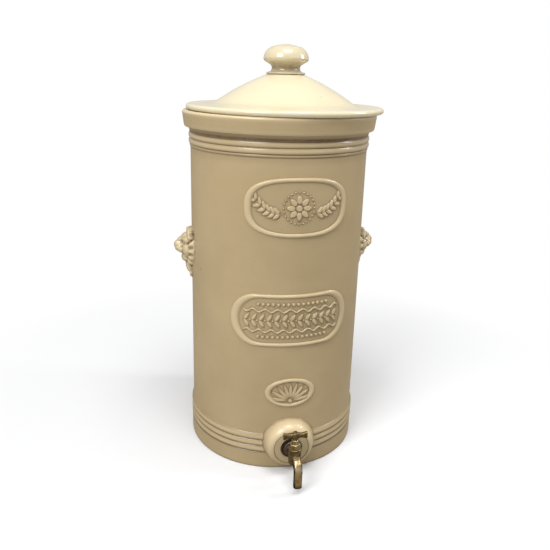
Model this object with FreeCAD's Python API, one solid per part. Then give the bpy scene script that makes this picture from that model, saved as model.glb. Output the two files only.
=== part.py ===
"""Stoneware gravity water filter: a lidded jar with a lift-out filter pan and a screw-down tap.

Millimetres. The origin is the centre of the foot on the floor, +Z is up, the tap points
along -Y and the two side masks sit on the X axis.
"""
import FreeCAD, Part
import math
import os

V = FreeCAD.Vector
UP = V(0, 0, 1)
FRONT = V(0, -1, 0)

# Jar, outside
body_foot_radius = 115.0        # where the plain wall starts, above the lower beads
body_neck_radius = 113.3        # where the plain wall ends, below the upper beads
foot_radius = 117.1
foot_chamfer = 1.5
foot_band_height = 23.4
lower_bead_pitch = 9.0
lower_bead_count = 3
lower_bead_height = 2.5
upper_step_z = 409.0
upper_step_height = 3.3
upper_step_depth = 0.8
upper_bead_pitch = 7.2
upper_bead_count = 2
upper_bead_height = 2.1
cove_height = 6.8
cove_sag = 2.2
rim_radius = 123.3
rim_height = 20.0
rim_lean = 2.4                  # how much narrower the rim is at its foot
rim_edge_round = 3.4

# Edges of the clay parts that lift out
clay_edge_round = 1.5

# Jar, inside
bore_radius = 104.0
floor_thickness = 14.0
floor_round = 8.0
ledge_top_z = 208.0
ledge_thickness = 12.0
ledge_bore_radius = 82.0
ledge_edge_round = 2.0
lip_round = 3.0

# Air pipe that lets the lower chamber breathe
air_pipe_radius = 4.0
air_pipe_bore = 2.2
air_pipe_gap = 0.3              # between the pipe and the wall behind it
air_pipe_foot_drop = 18.0       # how far it reaches below the top of the ledge
air_pipe_rise = 222.0           # how far it stands above the top of the ledge

# Lid and knob
lid_radius = 124.5
lid_shift_side = 6.2            # the lid lies off centre on its seat, as it was put down
lid_shift_front = 1.3
lid_seat_gap = 0.2
brim_thickness = 8.0
brim_fall = 1.5
dome_foot_radius = 86.5
dome_height = 43.6
dome_mid_radius = 59.3
dome_mid_height = 26.9
dome_corner_round = 9.0
dome_cove_reach = 5.0
dome_cove_height = 5.6
dome_cove_sag = 1.1
lid_wall = 8.0
skirt_radius = 96.6
skirt_wall = 7.0
skirt_drop = 10.5
knob_foot_radius = 24.7
knob_neck_radius = 17.7
knob_radius = 28.3
knob_foot_height = 2.4
knob_neck_z = 7.4
knob_widest_z = 18.5
knob_height = 35.2
knob_crown_radius = 13.0
knob_crown_drop = 2.0

# Filter pan and what it holds
pan_gap = 3.0                   # to the bore of the ledge
pan_wall = 6.0
pan_floor_thickness = 7.0
pan_heel_round = 4.0
pan_depth = 48.0                # from the top of the ledge down to the pan's underside
flange_radius = 92.0
flange_thickness = 12.0
flange_web = 4.0                # from the flange's underside up to the step the cover lies on
seal_thickness = 2.0
seal_inset = 1.0
rest_gap = 0.2                  # between the seal and the ledge it lies on
felt_thickness = 4.0
felt_gap = 0.4
cover_gap = 0.8
cover_thickness = 8.0
hole_radius = 2.0
hole_pitch = 17.0
hole_margin = 9.0
cover_knob_radius = 15.0
cover_knob_neck = 8.0
cover_knob_height = 22.0
cover_knob_crown = 10.5
cover_knob_crown_drop = 1.6

# Boss that carries the tap
tap_axis_z = 40.0
boss_face_distance = 132.0      # from the jar's axis to the boss's flat face
boss_face_radius = 24.5
boss_edge_round = 1.4
boss_shoulder_radius = 29.4
boss_shoulder_drop = 5.6
boss_root_radius = 32.8
boss_root_drop = 15.5
boss_root_sag = 1.2
boss_skirt_radius = 38.5
boss_skirt_drop = 27.0
boss_line_radius = 22.6         # incised ring near the edge of the face
boss_line_width = 0.7
boss_line_depth = 0.6
recess_radius = 13.6
recess_depth = 2.0
tap_hole_radius = 8.8

# Tap: body, spout and fixings
front_washer_radius = 13.2
front_washer_thickness = 2.6
flange_disc_radius = 11.0
flange_disc_thickness = 3.0
shank_radius = 8.0
shank_inner_end = 91.0          # distance of the shank's inner end from the jar's axis
barrel_radius = 6.8
valve_distance = 150.0          # from the jar's axis to the valve's axis
chamber_radius = 8.0
chamber_bore = 5.6
chamber_bottom_z = 29.5
chamber_bottom_round = 3.0
chamber_top_z = 53.0
inlet_bore = 1.9
inlet_bore_z = 36.2
seat_z = 39.2
seat_ring_height = 0.7
seat_ring_radius = 3.8
spout_z = 41.0
spout_radius = 5.6
spout_bore = 3.6
spout_bend_radius = 12.0
spout_straight = 8.0            # from the valve's axis to the end of the neck
spout_lead = 0.6                # from the neck to the start of the bend
spout_tip_z = 10.0
spout_neck_radius = 5.0
outlet_bore = 2.4
back_washer_radius = 14.0
back_washer_reach = 3.6
back_nut_width = 26.0
back_nut_thickness = 6.0

# Tap: moving works
spindle_gap = 0.06              # running clearance all round the spindle
thread_radius = 2.8
stem_radius = 1.9
thread_bottom_z = 42.9
thread_top_z = 51.0
square_side = 2.6
square_bottom_z = 67.0
square_top_z = 73.6
jumper_radius = 4.3
jumper_washer_thickness = 1.6
jumper_disc_thickness = 1.5
jumper_pin_radius = 1.2
jumper_stud_radius = 1.0
jumper_pin_length = 3.5
jumper_pin_gap = 0.3
seat_gap = 0.1
bonnet_width = 12.8
bonnet_height = 7.0
bonnet_spigot_length = 5.5
bonnet_thread_depth = 6.5
packing_box_radius = 3.1
packing_thickness = 2.4
packing_floor_z = 55.3
gland_nut_width = 8.0
gland_nut_height = 5.4
corner_chamfer = 0.7

# Tap: cross handle
handle_span = 31.0
handle_bottom_z = 66.3
handle_hub_radius = 3.9
handle_hub_height = 8.9
handle_hub_crown = 1.4
wing_mid_z = 70.8
wing_waist_height = 5.6
wing_waist_x = 5.2
wing_end_height = 9.6
wing_end_bulge = 0.8
wing_thickness = 4.8
wing_round = 0.8
square_gap = 0.04
screw_radius = 1.0
screw_head_radius = 2.3
screw_head_height = 1.2
screw_length = 5.0
screw_slot_width = 0.6
screw_slot_depth = 0.5

# Applied reliefs: width and height are measured along the wall
pad_thickness = 0.9
border_width = 2.6
border_height = 2.3
relief_height = 1.9
upper_oval_width = 132.7
upper_oval_height = 70.4
upper_oval_z = 351.9
upper_oval_turn = 1.2           # degrees towards +X
middle_oval_width = 161.6
middle_oval_height = 69.0
middle_oval_z = 211.4
lower_oval_width = 67.2
lower_oval_height = 40.5
lower_oval_z = 111.7

# Side masks
mask_z = 277.0
mask_width = 46.0
mask_height = 52.0
scroll_radius = 4.2
scroll_wire = 2.4
scroll_drop = 35.5              # from the middle of the mask down to the scroll under it
scroll_out = 1.4

# Places that follow from the sizes above
foot_beads_top_z = foot_band_height + lower_bead_count * lower_bead_pitch
upper_beads_z = upper_step_z + upper_step_height
upper_beads_top_z = upper_beads_z + upper_bead_count * upper_bead_pitch
rim_bottom_z = upper_beads_top_z + cove_height
seat_top_z = rim_bottom_z + rim_height
lid_bottom_z = seat_top_z + lid_seat_gap
knob_z = lid_bottom_z + dome_height
flange_bottom_z = ledge_top_z + rest_gap + seal_thickness
pan_bottom_z = ledge_top_z - pan_depth
pan_radius = ledge_bore_radius - pan_gap
pan_bore = pan_radius - pan_wall
cover_seat_z = flange_bottom_z + flange_web
cover_radius = pan_radius - cover_gap
neck_end = valve_distance + spout_straight
jumper_disc_z = seat_z + seat_gap + jumper_washer_thickness
stem_bore = stem_radius + spindle_gap
quarter_bulge = 1 - math.sqrt(0.5)     # how far a quarter circle leaves its chord, per unit radius


def bodywall(offset=0.0):
    """The plain tapering wall as a solid cone, grown outwards by offset."""
    height = upper_step_z - foot_beads_top_z
    low = body_foot_radius + offset
    high = body_neck_radius + offset
    return Part.makeCone(low, high, height, V(0, 0, foot_beads_top_z))


def wall_radius(z):
    """Radius of the plain wall at a height."""
    share = (z - foot_beads_top_z) / (upper_step_z - foot_beads_top_z)
    return body_foot_radius + share * (body_neck_radius - body_foot_radius)


class Outline:
    """A closed outline of lines and arcs in (radius, height), turned about the Z axis."""

    def __init__(self, radius, height):
        self.start = V(radius, 0, height)
        self.point = self.start
        self.edges = []

    def line(self, radius, height):
        end = V(radius, 0, height)
        self.edges.append(Part.LineSegment(self.point, end).toShape())
        self.point = end
        return self

    def arc(self, mid_radius, mid_height, radius, height):
        end = V(radius, 0, height)
        middle = V(mid_radius, 0, mid_height)
        self.edges.append(Part.Arc(self.point, middle, end).toShape())
        self.point = end
        return self

    def corner(self, radius, height, bulge):
        """A rounded corner to the next point; bulge is how far the arc leaves the chord."""
        end = V(radius, 0, height)
        chord = end - self.point
        side = V(chord.z, 0, -chord.x)
        side.normalize()
        middle = (self.point + end) * 0.5 + side * bulge
        return self.arc(middle.x, middle.z, radius, height)

    def crown(self, height):
        """A spherical cap from the current point up to the axis."""
        rise = height - self.point.z
        sphere = (self.point.x ** 2 + rise ** 2) / (2 * rise)
        half = self.point.x / 2.0
        return self.arc(half, height - sphere + math.sqrt(sphere ** 2 - half ** 2), 0, height)

    def turned(self):
        if (self.point - self.start).Length > 1e-6:
            self.line(self.start.x, self.start.z)
        face = Part.Face(Part.Wire(self.edges))
        solid = face.revolve(V(0, 0, 0), UP, 360)
        if solid.Volume < 0:
            solid.reverse()
        return solid


def rod(radius, start, end):
    """A round bar between two points."""
    along = end - start
    return Part.makeCylinder(radius, along.Length, start, along)


def ring(outer, inner, z, height, x=0.0, y=0.0):
    base = V(x, y, z)
    return Part.makeCylinder(outer, height, base).cut(Part.makeCylinder(inner, height, base))


def tap_point(distance, z, x=0.0):
    """A point out along the tap, at a distance from the jar's axis."""
    return V(x, -distance, z)


def hexagon(width, base, along, length, chamfer):
    """A hexagonal prism across its flats, with the corners of both ends turned down."""
    corner = width / 2.0 / math.cos(math.pi / 6.0)
    points = [V(corner * math.cos(k * math.pi / 3.0), corner * math.sin(k * math.pi / 3.0), 0)
              for k in range(6)]
    points.append(points[0])
    prism = Part.Face(Part.makePolygon(points)).extrude(V(0, 0, length))
    flat = width / 2.0 - chamfer * 0.2
    turned = Outline(0, 0).line(flat, 0).line(corner + 0.01, chamfer)
    turned.line(corner + 0.01, length - chamfer).line(flat, length).line(0, length)
    prism = prism.common(turned.turned())
    prism.Placement = FreeCAD.Placement(base, FreeCAD.Rotation(UP, along))
    return prism


def jar_outside():
    """The outside of the jar as one solid of revolution, from foot to rim."""
    top = seat_top_z
    shape = Outline(0, 0).line(foot_radius - foot_chamfer, 0).line(foot_radius, foot_chamfer)
    shape.line(foot_radius, foot_band_height).line(body_foot_radius, foot_band_height)
    for k in range(lower_bead_count):
        z = foot_band_height + k * lower_bead_pitch
        shape.arc(body_foot_radius + lower_bead_height, z + lower_bead_pitch / 2.0,
                  body_foot_radius, z + lower_bead_pitch)
    shape.line(body_neck_radius, upper_step_z)
    shape.line(body_neck_radius + upper_step_depth, upper_step_z + upper_step_depth)
    shape.line(body_neck_radius + upper_step_depth, upper_beads_z)
    shape.line(body_neck_radius, upper_beads_z)
    for k in range(upper_bead_count):
        z = upper_beads_z + k * upper_bead_pitch
        shape.arc(body_neck_radius + upper_bead_height, z + upper_bead_pitch / 2.0,
                  body_neck_radius, z + upper_bead_pitch)
    shape.line(body_neck_radius + 1.0, upper_beads_top_z)
    shape.corner(rim_radius - rim_lean, rim_bottom_z, -cove_sag)
    shape.line(rim_radius, top - rim_edge_round)
    shape.corner(rim_radius - rim_edge_round, top, rim_edge_round * quarter_bulge)
    shape.line(0, top)
    return shape.turned()


def jar_inside():
    """The space to take out of the jar, from its floor to its lip."""
    shape = Outline(0, floor_thickness).line(bore_radius - floor_round, floor_thickness)
    shape.corner(bore_radius, floor_thickness + floor_round, floor_round * quarter_bulge)
    shape.line(bore_radius, seat_top_z - lip_round)
    shape.corner(bore_radius + lip_round, seat_top_z, -lip_round * quarter_bulge)
    shape.line(bore_radius + lip_round, seat_top_z + 1).line(0, seat_top_z + 1)
    return shape.turned()


def tap_hole():
    return rod(tap_hole_radius, tap_point(bore_radius - 20, tap_axis_z),
               tap_point(boss_face_distance + 1, tap_axis_z))


def air_pipe_place():
    """The air pipe stands at the back, close to the inside of the wall."""
    return V(0, bore_radius - air_pipe_gap - air_pipe_radius, ledge_top_z - air_pipe_foot_drop)


def make_filter_jar():
    return jar_outside().cut(jar_inside()).cut(tap_hole())


def make_jar_ledge():
    """The shelf ring stuck inside the wall, which parts the upper chamber from the lower."""
    reach = bore_radius - ledge_bore_radius
    bottom_z = ledge_top_z - ledge_thickness
    shape = Outline(bore_radius, bottom_z - reach).line(ledge_bore_radius, bottom_z)
    shape.line(ledge_bore_radius, ledge_top_z - ledge_edge_round)
    shape.corner(ledge_bore_radius + ledge_edge_round, ledge_top_z, -ledge_edge_round * quarter_bulge)
    shape.line(bore_radius, ledge_top_z)
    length = air_pipe_foot_drop + air_pipe_rise
    return shape.turned().cut(Part.makeCylinder(air_pipe_radius, length, air_pipe_place()))


def make_air_pipe():
    length = air_pipe_foot_drop + air_pipe_rise
    foot = air_pipe_place()
    pipe = Part.makeCylinder(air_pipe_radius, length, foot)
    return pipe.cut(Part.makeCylinder(air_pipe_bore, length, foot))


def make_tap_boss():
    """The clay pad that thickens the wall round the tap, with a flat face and a recess."""
    face = boss_face_distance
    shape = Outline(0, 0).line(boss_skirt_radius, 0)
    root = face - boss_root_drop
    shape.line(boss_skirt_radius, face - boss_skirt_drop)
    shape.corner(boss_root_radius, root, -boss_root_sag)
    shape.arc(boss_shoulder_radius, face - boss_shoulder_drop, boss_face_radius, face - boss_edge_round)
    shape.corner(boss_face_radius - boss_edge_round, face, boss_edge_round * quarter_bulge)
    shape.line(boss_line_radius, face)
    shape.line(boss_line_radius - boss_line_width / 2, face - boss_line_depth)
    shape.line(boss_line_radius - boss_line_width, face)
    shape.line(recess_radius, face).line(recess_radius, face - recess_depth)
    shape.line(0, face - recess_depth)
    boss = shape.turned()
    boss.Placement = FreeCAD.Placement(V(0, 0, tap_axis_z), FreeCAD.Rotation(UP, FRONT))
    above_floor = Part.makeBox(200, 200, 200, V(-100, -200, 0))
    return boss.common(above_floor).cut(jar_outside()).cut(tap_hole())


def oval_face(width, height, ellipse=False):
    """The outline of a relief, drawn flat in front of the wall that it is wrapped on.

    Lengths along the wall become their projection on the flat, so the round ends turn into
    half ellipses.
    """
    radius = body_foot_radius
    reach = radius * math.sin(width / 2.0 / radius)
    half = height / 2.0
    if ellipse:
        major, minor = reach, half
        curve = Part.Ellipse(V(0, 0, 0), major, minor)
        return Part.Face(Part.Wire(curve.toShape()))
    straight = radius * math.sin((width - height) / 2.0 / radius)
    cap = reach - straight
    edges = []
    edges.append(Part.LineSegment(V(-straight, half, 0), V(straight, half, 0)).toShape())
    for side in (1, -1):
        curve = Part.Ellipse(V(side * straight, 0, 0), half, cap)
        curve.AngleXU = math.pi / 2.0
        a, b = (math.pi, 2 * math.pi) if side > 0 else (0, math.pi)
        edges.append(Part.ArcOfEllipse(curve, a, b).toShape())
    edges.append(Part.LineSegment(V(-straight, -half, 0), V(straight, -half, 0)).toShape())
    return Part.Face(Part.Wire(Part.__sortEdges__(edges)))


def wrapped(faces, height, z, turn):
    """Stand flat faces up at a height on the wall and keep what rises off it."""
    prisms = [face.extrude(V(0, 0, 2 * boss_face_distance)) for face in faces]
    prism = prisms[0].multiFuse(prisms[1:]) if len(prisms) > 1 else prisms[0]
    prism.Placement = FreeCAD.Placement(V(0, 0, z), FreeCAD.Rotation(V(1, 0, 0), 90))
    prism = prism.common(bodywall(height)).cut(bodywall())
    prism.rotate(V(0, 0, 0), UP, turn)
    return prism


def petal(length, width, x, y, angle):
    """A leaf or petal: an ellipse that starts at a point and lies along an angle."""
    way = math.radians(angle)
    centre = V(x + length / 2.0 * math.cos(way), y + length / 2.0 * math.sin(way), 0)
    curve = Part.Ellipse(V(0, 0, 0), length / 2.0, width / 2.0)
    face = Part.Face(Part.Wire(curve.toShape()))
    face.Placement = FreeCAD.Placement(centre, FreeCAD.Rotation(UP, angle))
    return face


def disc(radius, x, y):
    return Part.Face(Part.Wire(Part.Circle(V(x, y, 0), UP, radius).toShape()))


def rosette_and_sprays():
    """A round flower with a leafy branch to each side."""
    petal_start = 5.0
    branch_start = 22.0
    branch_low = -6.0
    leaf_pitch = 5.8
    faces = [disc(4.0, 0, 0)]
    for angle in range(0, 360, 45):
        way = math.radians(angle)
        faces.append(petal(10.5, 6.0, petal_start * math.cos(way), petal_start * math.sin(way), angle))
    for side in (1, -1):
        for k in range(5):
            x = branch_start + leaf_pitch * k
            y = branch_low + 0.65 * k * k
            for lift in (48.0, -34.0):
                angle = lift + 7.2 * k
                faces.append(petal(9.0, 4.2, side * x, y, angle if side > 0 else 180.0 - angle))
    return faces


def bead_rows():
    """Two rows of round beads with a row of paired leaves between them."""
    bead_pitch = 6.6
    leaf_pitch = 10.6
    leaf_lead = 4.0
    faces = []
    for row in (-18.0, 18.0):
        for k in range(-7, 8):
            faces.append(disc(2.4, k * bead_pitch, row))
    for k in range(-5, 6):
        for angle in (52.0, -52.0):
            faces.append(petal(11.0, 4.6, k * leaf_pitch - leaf_lead, 0, angle))
    return faces


def fan():
    """A fan of ribs rising from a bead near the lower edge."""
    hub_y = -11.5
    rib_start = 4.2
    faces = [disc(2.6, 0, hub_y)]
    for k in range(-4, 5):
        angle = 90.0 - 20.0 * k
        way = math.radians(angle)
        length = 20.0 + 0.35 * k * k
        x, y = rib_start * math.cos(way), hub_y + rib_start * math.sin(way)
        faces.append(petal(length, 4.4, x, y, angle))
    return faces


def make_oval(width, height, z, turn, motif, ellipse=False):
    """A thin applied pad with a raised border and a plain pattern in low relief."""
    whole = oval_face(width, height, ellipse)
    inner = oval_face(width - 2 * border_width, height - 2 * border_width, ellipse)
    pad = wrapped([whole], pad_thickness, z, turn)
    border = wrapped([whole.cut(inner)], border_height, z, turn)
    pattern = wrapped(motif(), relief_height, z, turn)
    return pad.multiFuse([border, pattern])


def ellipsoid(out, side, up, half_out, half_side, half_up):
    """A rounded lump on the right-hand side: how far out of the wall, along it and up."""
    matrix = FreeCAD.Matrix()
    matrix.scale(half_out, half_side, half_up)
    lump = Part.makeSphere(1.0).transformGeometry(matrix)
    lump.translate(V(wall_radius(mask_z) + out, side, mask_z + up))
    return lump


def make_mask():
    """An animal head in high relief: mane, ears, brow, cheeks, muzzle, jaw, beard and scroll."""
    mane = ellipsoid(0.0, 0, 0, 9.0, mask_width / 2.0, mask_height / 2.0)
    brow = ellipsoid(8.0, 0, 11.0, 10.0, 14.0, 8.5)
    muzzle = ellipsoid(13.5, 0, 1.0, 9.8, 7.6, 7.2)
    jaw = ellipsoid(7.5, 0, -12.5, 7.6, 8.0, 8.0)
    beard = ellipsoid(2.0, 0, -24.0, 6.0, 7.5, 12.0)
    lumps = [mane, brow, muzzle, jaw, beard]
    for side in (1, -1):
        cheek = ellipsoid(7.0, side * 9.5, -1.0, 8.0, 8.0, 10.0)
        ear = ellipsoid(4.0, side * 14.5, 19.0, 5.5, 5.0, 7.0)
        lumps.extend([cheek, ear])
    scroll_place = V(wall_radius(mask_z) + scroll_out, 0, mask_z - scroll_drop)
    lumps.append(Part.makeTorus(scroll_radius, scroll_wire, scroll_place, V(1, 0, 0)))
    head = lumps[0].multiFuse(lumps[1:])
    return head.cut(bodywall())


def lid_outline():
    """The lid without its skirt: brim, dome and the hollow under the dome."""
    z = lid_bottom_z
    brim = brim_thickness
    corner_low = V(dome_foot_radius + dome_corner_round, 0, z + brim)
    shape = Outline(skirt_radius, z).line(lid_radius - brim / 2.0, z)
    shape.arc(lid_radius, z + brim / 2.0 - brim_fall / 2.0, lid_radius - brim / 2.0, z + brim - brim_fall)
    shape.line(corner_low.x, corner_low.z)
    shape.corner(dome_foot_radius - dome_cove_reach, z + brim + dome_cove_height, -dome_cove_sag)
    shape.arc(dome_mid_radius, z + dome_mid_height, knob_foot_radius - 1.0, z + dome_height)
    shape.line(0, z + dome_height)
    shape.line(0, z + dome_height - lid_wall)
    shape.arc(dome_mid_radius - 6.0, z + dome_mid_height - lid_wall + 3.2,
              skirt_radius - skirt_wall - 2.0, z)
    shape.line(skirt_radius - skirt_wall, z - skirt_drop)
    shape.line(skirt_radius, z - skirt_drop)
    return shape


def make_lid():
    lid = lid_outline().turned()
    lid.translate(V(lid_shift_side, -lid_shift_front, 0))
    return lid


def make_lid_knob():
    """A turned mushroom knob, stuck on the crown of the lid."""
    foot = knob_foot_height
    shape = Outline(0, 0).line(knob_foot_radius - 1.4, 0)
    shape.arc(knob_foot_radius, 1.0, knob_foot_radius - 2.0, foot)
    shape.arc(knob_neck_radius + 1.0, foot + 1.6, knob_neck_radius, knob_neck_z)
    shape.arc(knob_neck_radius + 0.9, knob_neck_z + 2.4, knob_neck_radius + 2.6, knob_neck_z + 4.4)
    shape.arc(knob_radius - 2.2, knob_widest_z - 3.9, knob_radius, knob_widest_z)
    shape.arc(knob_radius - 4.4, knob_height - 7.2, knob_crown_radius, knob_height - knob_crown_drop)
    shape.crown(knob_height)
    knob = shape.turned()
    knob.translate(V(lid_shift_side, -lid_shift_front, knob_z))
    return knob


def hole_grid(reach, keep_clear, z, depth):
    """Drain holes on rings about the axis, between a clear middle and a reach."""
    holes = []
    ring_radius = keep_clear
    while ring_radius <= reach:
        count = max(6, int(2 * math.pi * ring_radius / hole_pitch))
        for k in range(count):
            way = 2 * math.pi * k / count
            place = V(ring_radius * math.cos(way), ring_radius * math.sin(way), z)
            holes.append(Part.makeCylinder(hole_radius, depth, place))
        ring_radius += hole_pitch
    return Part.makeCompound(holes)


def make_filter_pan():
    """A flanged pan with a drilled floor that hangs through the ledge."""
    bottom = pan_bottom_z
    top = flange_bottom_z + flange_thickness
    heel = pan_heel_round
    edge = clay_edge_round
    shape = Outline(0, bottom).line(pan_radius - heel, bottom)
    shape.corner(pan_radius, bottom + heel, heel * quarter_bulge)
    shape.line(pan_radius, flange_bottom_z).line(flange_radius, flange_bottom_z)
    shape.line(flange_radius, top - edge).corner(flange_radius - edge, top, edge * quarter_bulge)
    shape.line(pan_radius, top).line(pan_radius, cover_seat_z).line(pan_bore, cover_seat_z)
    shape.line(pan_bore, bottom + pan_floor_thickness).line(0, bottom + pan_floor_thickness)
    pan = shape.turned()
    return pan.cut(hole_grid(pan_bore - hole_margin, hole_pitch, bottom, pan_floor_thickness))


def make_pan_seal():
    inner = ledge_bore_radius + ledge_edge_round
    return ring(flange_radius - seal_inset, inner, ledge_top_z + rest_gap, seal_thickness)


def felt_radius():
    return pan_bore - felt_gap


def lower_felt_z():
    return pan_bottom_z + pan_floor_thickness


def upper_felt_z():
    return cover_seat_z - felt_thickness


def make_lower_felt():
    return Part.makeCylinder(felt_radius(), felt_thickness, V(0, 0, lower_felt_z()))


def make_charcoal_bed():
    bottom = lower_felt_z() + felt_thickness
    return Part.makeCylinder(felt_radius(), upper_felt_z() - bottom, V(0, 0, bottom))


def make_upper_felt():
    return Part.makeCylinder(felt_radius(), felt_thickness, V(0, 0, upper_felt_z()))


def make_cover_plate():
    """The drilled stoneware plate that keeps the charcoal down."""
    bottom = cover_seat_z + rest_gap
    top = bottom + cover_thickness
    edge = clay_edge_round
    shape = Outline(0, bottom).line(cover_radius, bottom).line(cover_radius, top - edge)
    shape.corner(cover_radius - edge, top, edge * quarter_bulge).line(0, top)
    keep_clear = cover_knob_radius + hole_margin
    return shape.turned().cut(hole_grid(cover_radius - hole_margin, keep_clear, bottom, cover_thickness))


def make_cover_knob():
    base = cover_seat_z + rest_gap + cover_thickness
    height = cover_knob_height
    shape = Outline(0, base).line(cover_knob_radius - 1, base)
    shape.arc(cover_knob_neck + 1.2, base + 3.4, cover_knob_neck, base + height * 0.45)
    shape.arc(cover_knob_radius - 2.6, base + height * 0.55, cover_knob_radius, base + height * 0.75)
    shape.arc(cover_knob_radius - 1.6, base + height * 0.86,
              cover_knob_crown, base + height - cover_knob_crown_drop)
    shape.crown(base + height)
    return shape.turned()


def make_front_washer():
    back = tap_point(boss_face_distance - recess_depth, tap_axis_z)
    front = back + FRONT * front_washer_thickness
    return rod(front_washer_radius, back, front).cut(rod(shank_radius, back, front))


def flange_back():
    return boss_face_distance - recess_depth + front_washer_thickness


def valve_place(z):
    return tap_point(valve_distance, z)


def make_tap_body():
    """One casting: threaded shank, flange, barrel and the upright valve chamber."""
    back = flange_back()
    front = back + flange_disc_thickness
    shank = rod(shank_radius, tap_point(shank_inner_end, tap_axis_z), tap_point(back, tap_axis_z))
    disc_back = tap_point(back, tap_axis_z)
    flange = rod(flange_disc_radius, disc_back, tap_point(front, tap_axis_z))
    rounded = [e for e in flange.Edges if e.BoundBox.YMin < -front + 0.01 and e.BoundBox.YLength < 0.01]
    flange = flange.makeFillet(0.9, rounded)
    barrel = rod(barrel_radius, tap_point(front - 1, tap_axis_z), valve_place(tap_axis_z))
    chamber = Outline(0, chamber_bottom_z).line(chamber_radius - chamber_bottom_round, chamber_bottom_z)
    low_round = chamber_bottom_round
    chamber.corner(chamber_radius, chamber_bottom_z + low_round, low_round * quarter_bulge)
    chamber.line(chamber_radius, chamber_top_z).line(0, chamber_top_z)
    chamber = chamber.turned()
    chamber.translate(valve_place(0))
    neck = rod(spout_neck_radius, valve_place(spout_z), tap_point(neck_end, spout_z))
    body = shank.multiFuse([flange, barrel, chamber, neck])
    floor_z = seat_z - seat_ring_height
    room = Part.makeCylinder(chamber_bore, chamber_top_z - floor_z, valve_place(floor_z))
    seat = Part.makeCylinder(seat_ring_radius, seat_ring_height, valve_place(floor_z))
    body = body.cut(room).fuse(seat)
    inlet = rod(inlet_bore, tap_point(shank_inner_end, inlet_bore_z), valve_place(inlet_bore_z))
    riser = Part.makeCylinder(inlet_bore, seat_z - inlet_bore_z, valve_place(inlet_bore_z))
    riser_end = Part.makeSphere(inlet_bore, valve_place(inlet_bore_z))
    outlet = rod(outlet_bore, valve_place(spout_z), tap_point(neck_end, spout_z))
    return body.cut(inlet.multiFuse([riser, riser_end])).cut(outlet)


def make_tap_spout():
    """A tube soldered to the body's neck, bent down over the edge of the shelf."""
    start = tap_point(neck_end, spout_z)
    bend = spout_bend_radius
    turn_start = start + FRONT * spout_lead
    turn_end = turn_start + FRONT * bend - UP * bend
    centre = turn_start - UP * bend
    middle = centre + (FRONT + UP) * (bend * math.sqrt(0.5))
    tip = V(turn_end.x, turn_end.y, spout_tip_z)
    path = Part.Wire([Part.LineSegment(start, turn_start).toShape(),
                      Part.Arc(turn_start, middle, turn_end).toShape(),
                      Part.LineSegment(turn_end, tip).toShape()])
    outer = path.makePipe(Part.Face(Part.Wire(Part.Circle(start, FRONT, spout_radius).toShape())))
    inner = path.makePipe(Part.Face(Part.Wire(Part.Circle(start, FRONT, spout_bore).toShape())))
    for tube in (outer, inner):
        if tube.Volume < 0:
            tube.reverse()
    return outer.cut(inner)


def make_back_washer():
    """A soft washer pressed to the curve of the inside wall."""
    near = tap_point(bore_radius - back_washer_reach, tap_axis_z)
    far = tap_point(bore_radius + 5, tap_axis_z)
    washer = rod(back_washer_radius, near, far)
    inside = Part.makeCylinder(bore_radius, seat_top_z)
    return washer.common(inside).cut(rod(shank_radius, near, far))


def make_back_nut():
    start = tap_point(bore_radius - back_washer_reach - back_nut_thickness, tap_axis_z)
    nut = hexagon(back_nut_width, start, FRONT, back_nut_thickness, corner_chamfer * 2)
    end = start + FRONT * back_nut_thickness
    return nut.cut(rod(shank_radius, start, end))


def make_bonnet():
    """The hexagon cap of the valve chamber, threaded for the spindle."""
    base = chamber_top_z
    cap = hexagon(bonnet_width, valve_place(base), UP, bonnet_height, corner_chamfer)
    spigot_z = base - bonnet_spigot_length
    spigot = Part.makeCylinder(chamber_bore, bonnet_spigot_length, valve_place(spigot_z))
    bonnet = cap.fuse(spigot)
    thread = Part.makeCylinder(thread_radius + spindle_gap, bonnet_thread_depth, valve_place(spigot_z))
    stem = Part.makeCylinder(stem_bore, bonnet_height, valve_place(base))
    box_depth = base + bonnet_height - packing_floor_z
    box = Part.makeCylinder(packing_box_radius, box_depth, valve_place(packing_floor_z))
    return bonnet.cut(thread).cut(stem).cut(box)


def make_gland_packing():
    y = -valve_distance
    return ring(packing_box_radius, stem_bore, packing_floor_z, packing_thickness, 0, y)


def make_gland_nut():
    """A small hexagon nut whose spigot presses the packing round the spindle."""
    base = chamber_top_z + bonnet_height
    nut = hexagon(gland_nut_width, valve_place(base), UP, gland_nut_height, corner_chamfer)
    packing_top = packing_floor_z + packing_thickness
    spigot = Part.makeCylinder(packing_box_radius, base - packing_top, valve_place(packing_top))
    way = Part.makeCylinder(stem_bore, gland_nut_height + bonnet_height, valve_place(packing_top))
    return nut.fuse(spigot).cut(way)


def make_jumper_washer():
    y = -valve_distance
    return ring(jumper_radius, jumper_stud_radius, seat_z + seat_gap, jumper_washer_thickness, 0, y)


def make_jumper_valve():
    """The loose disc under the spindle, with a pin up into it and a stud down through its washer."""
    low = jumper_disc_z
    disc_part = Part.makeCylinder(jumper_radius, jumper_disc_thickness, valve_place(low))
    pin_length = jumper_disc_thickness + jumper_pin_length
    pin = Part.makeCylinder(jumper_pin_radius, pin_length, valve_place(low))
    stud_low = valve_place(low - jumper_washer_thickness)
    stud = Part.makeCylinder(jumper_stud_radius, jumper_washer_thickness, stud_low)
    return disc_part.multiFuse([pin, stud])


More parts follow.
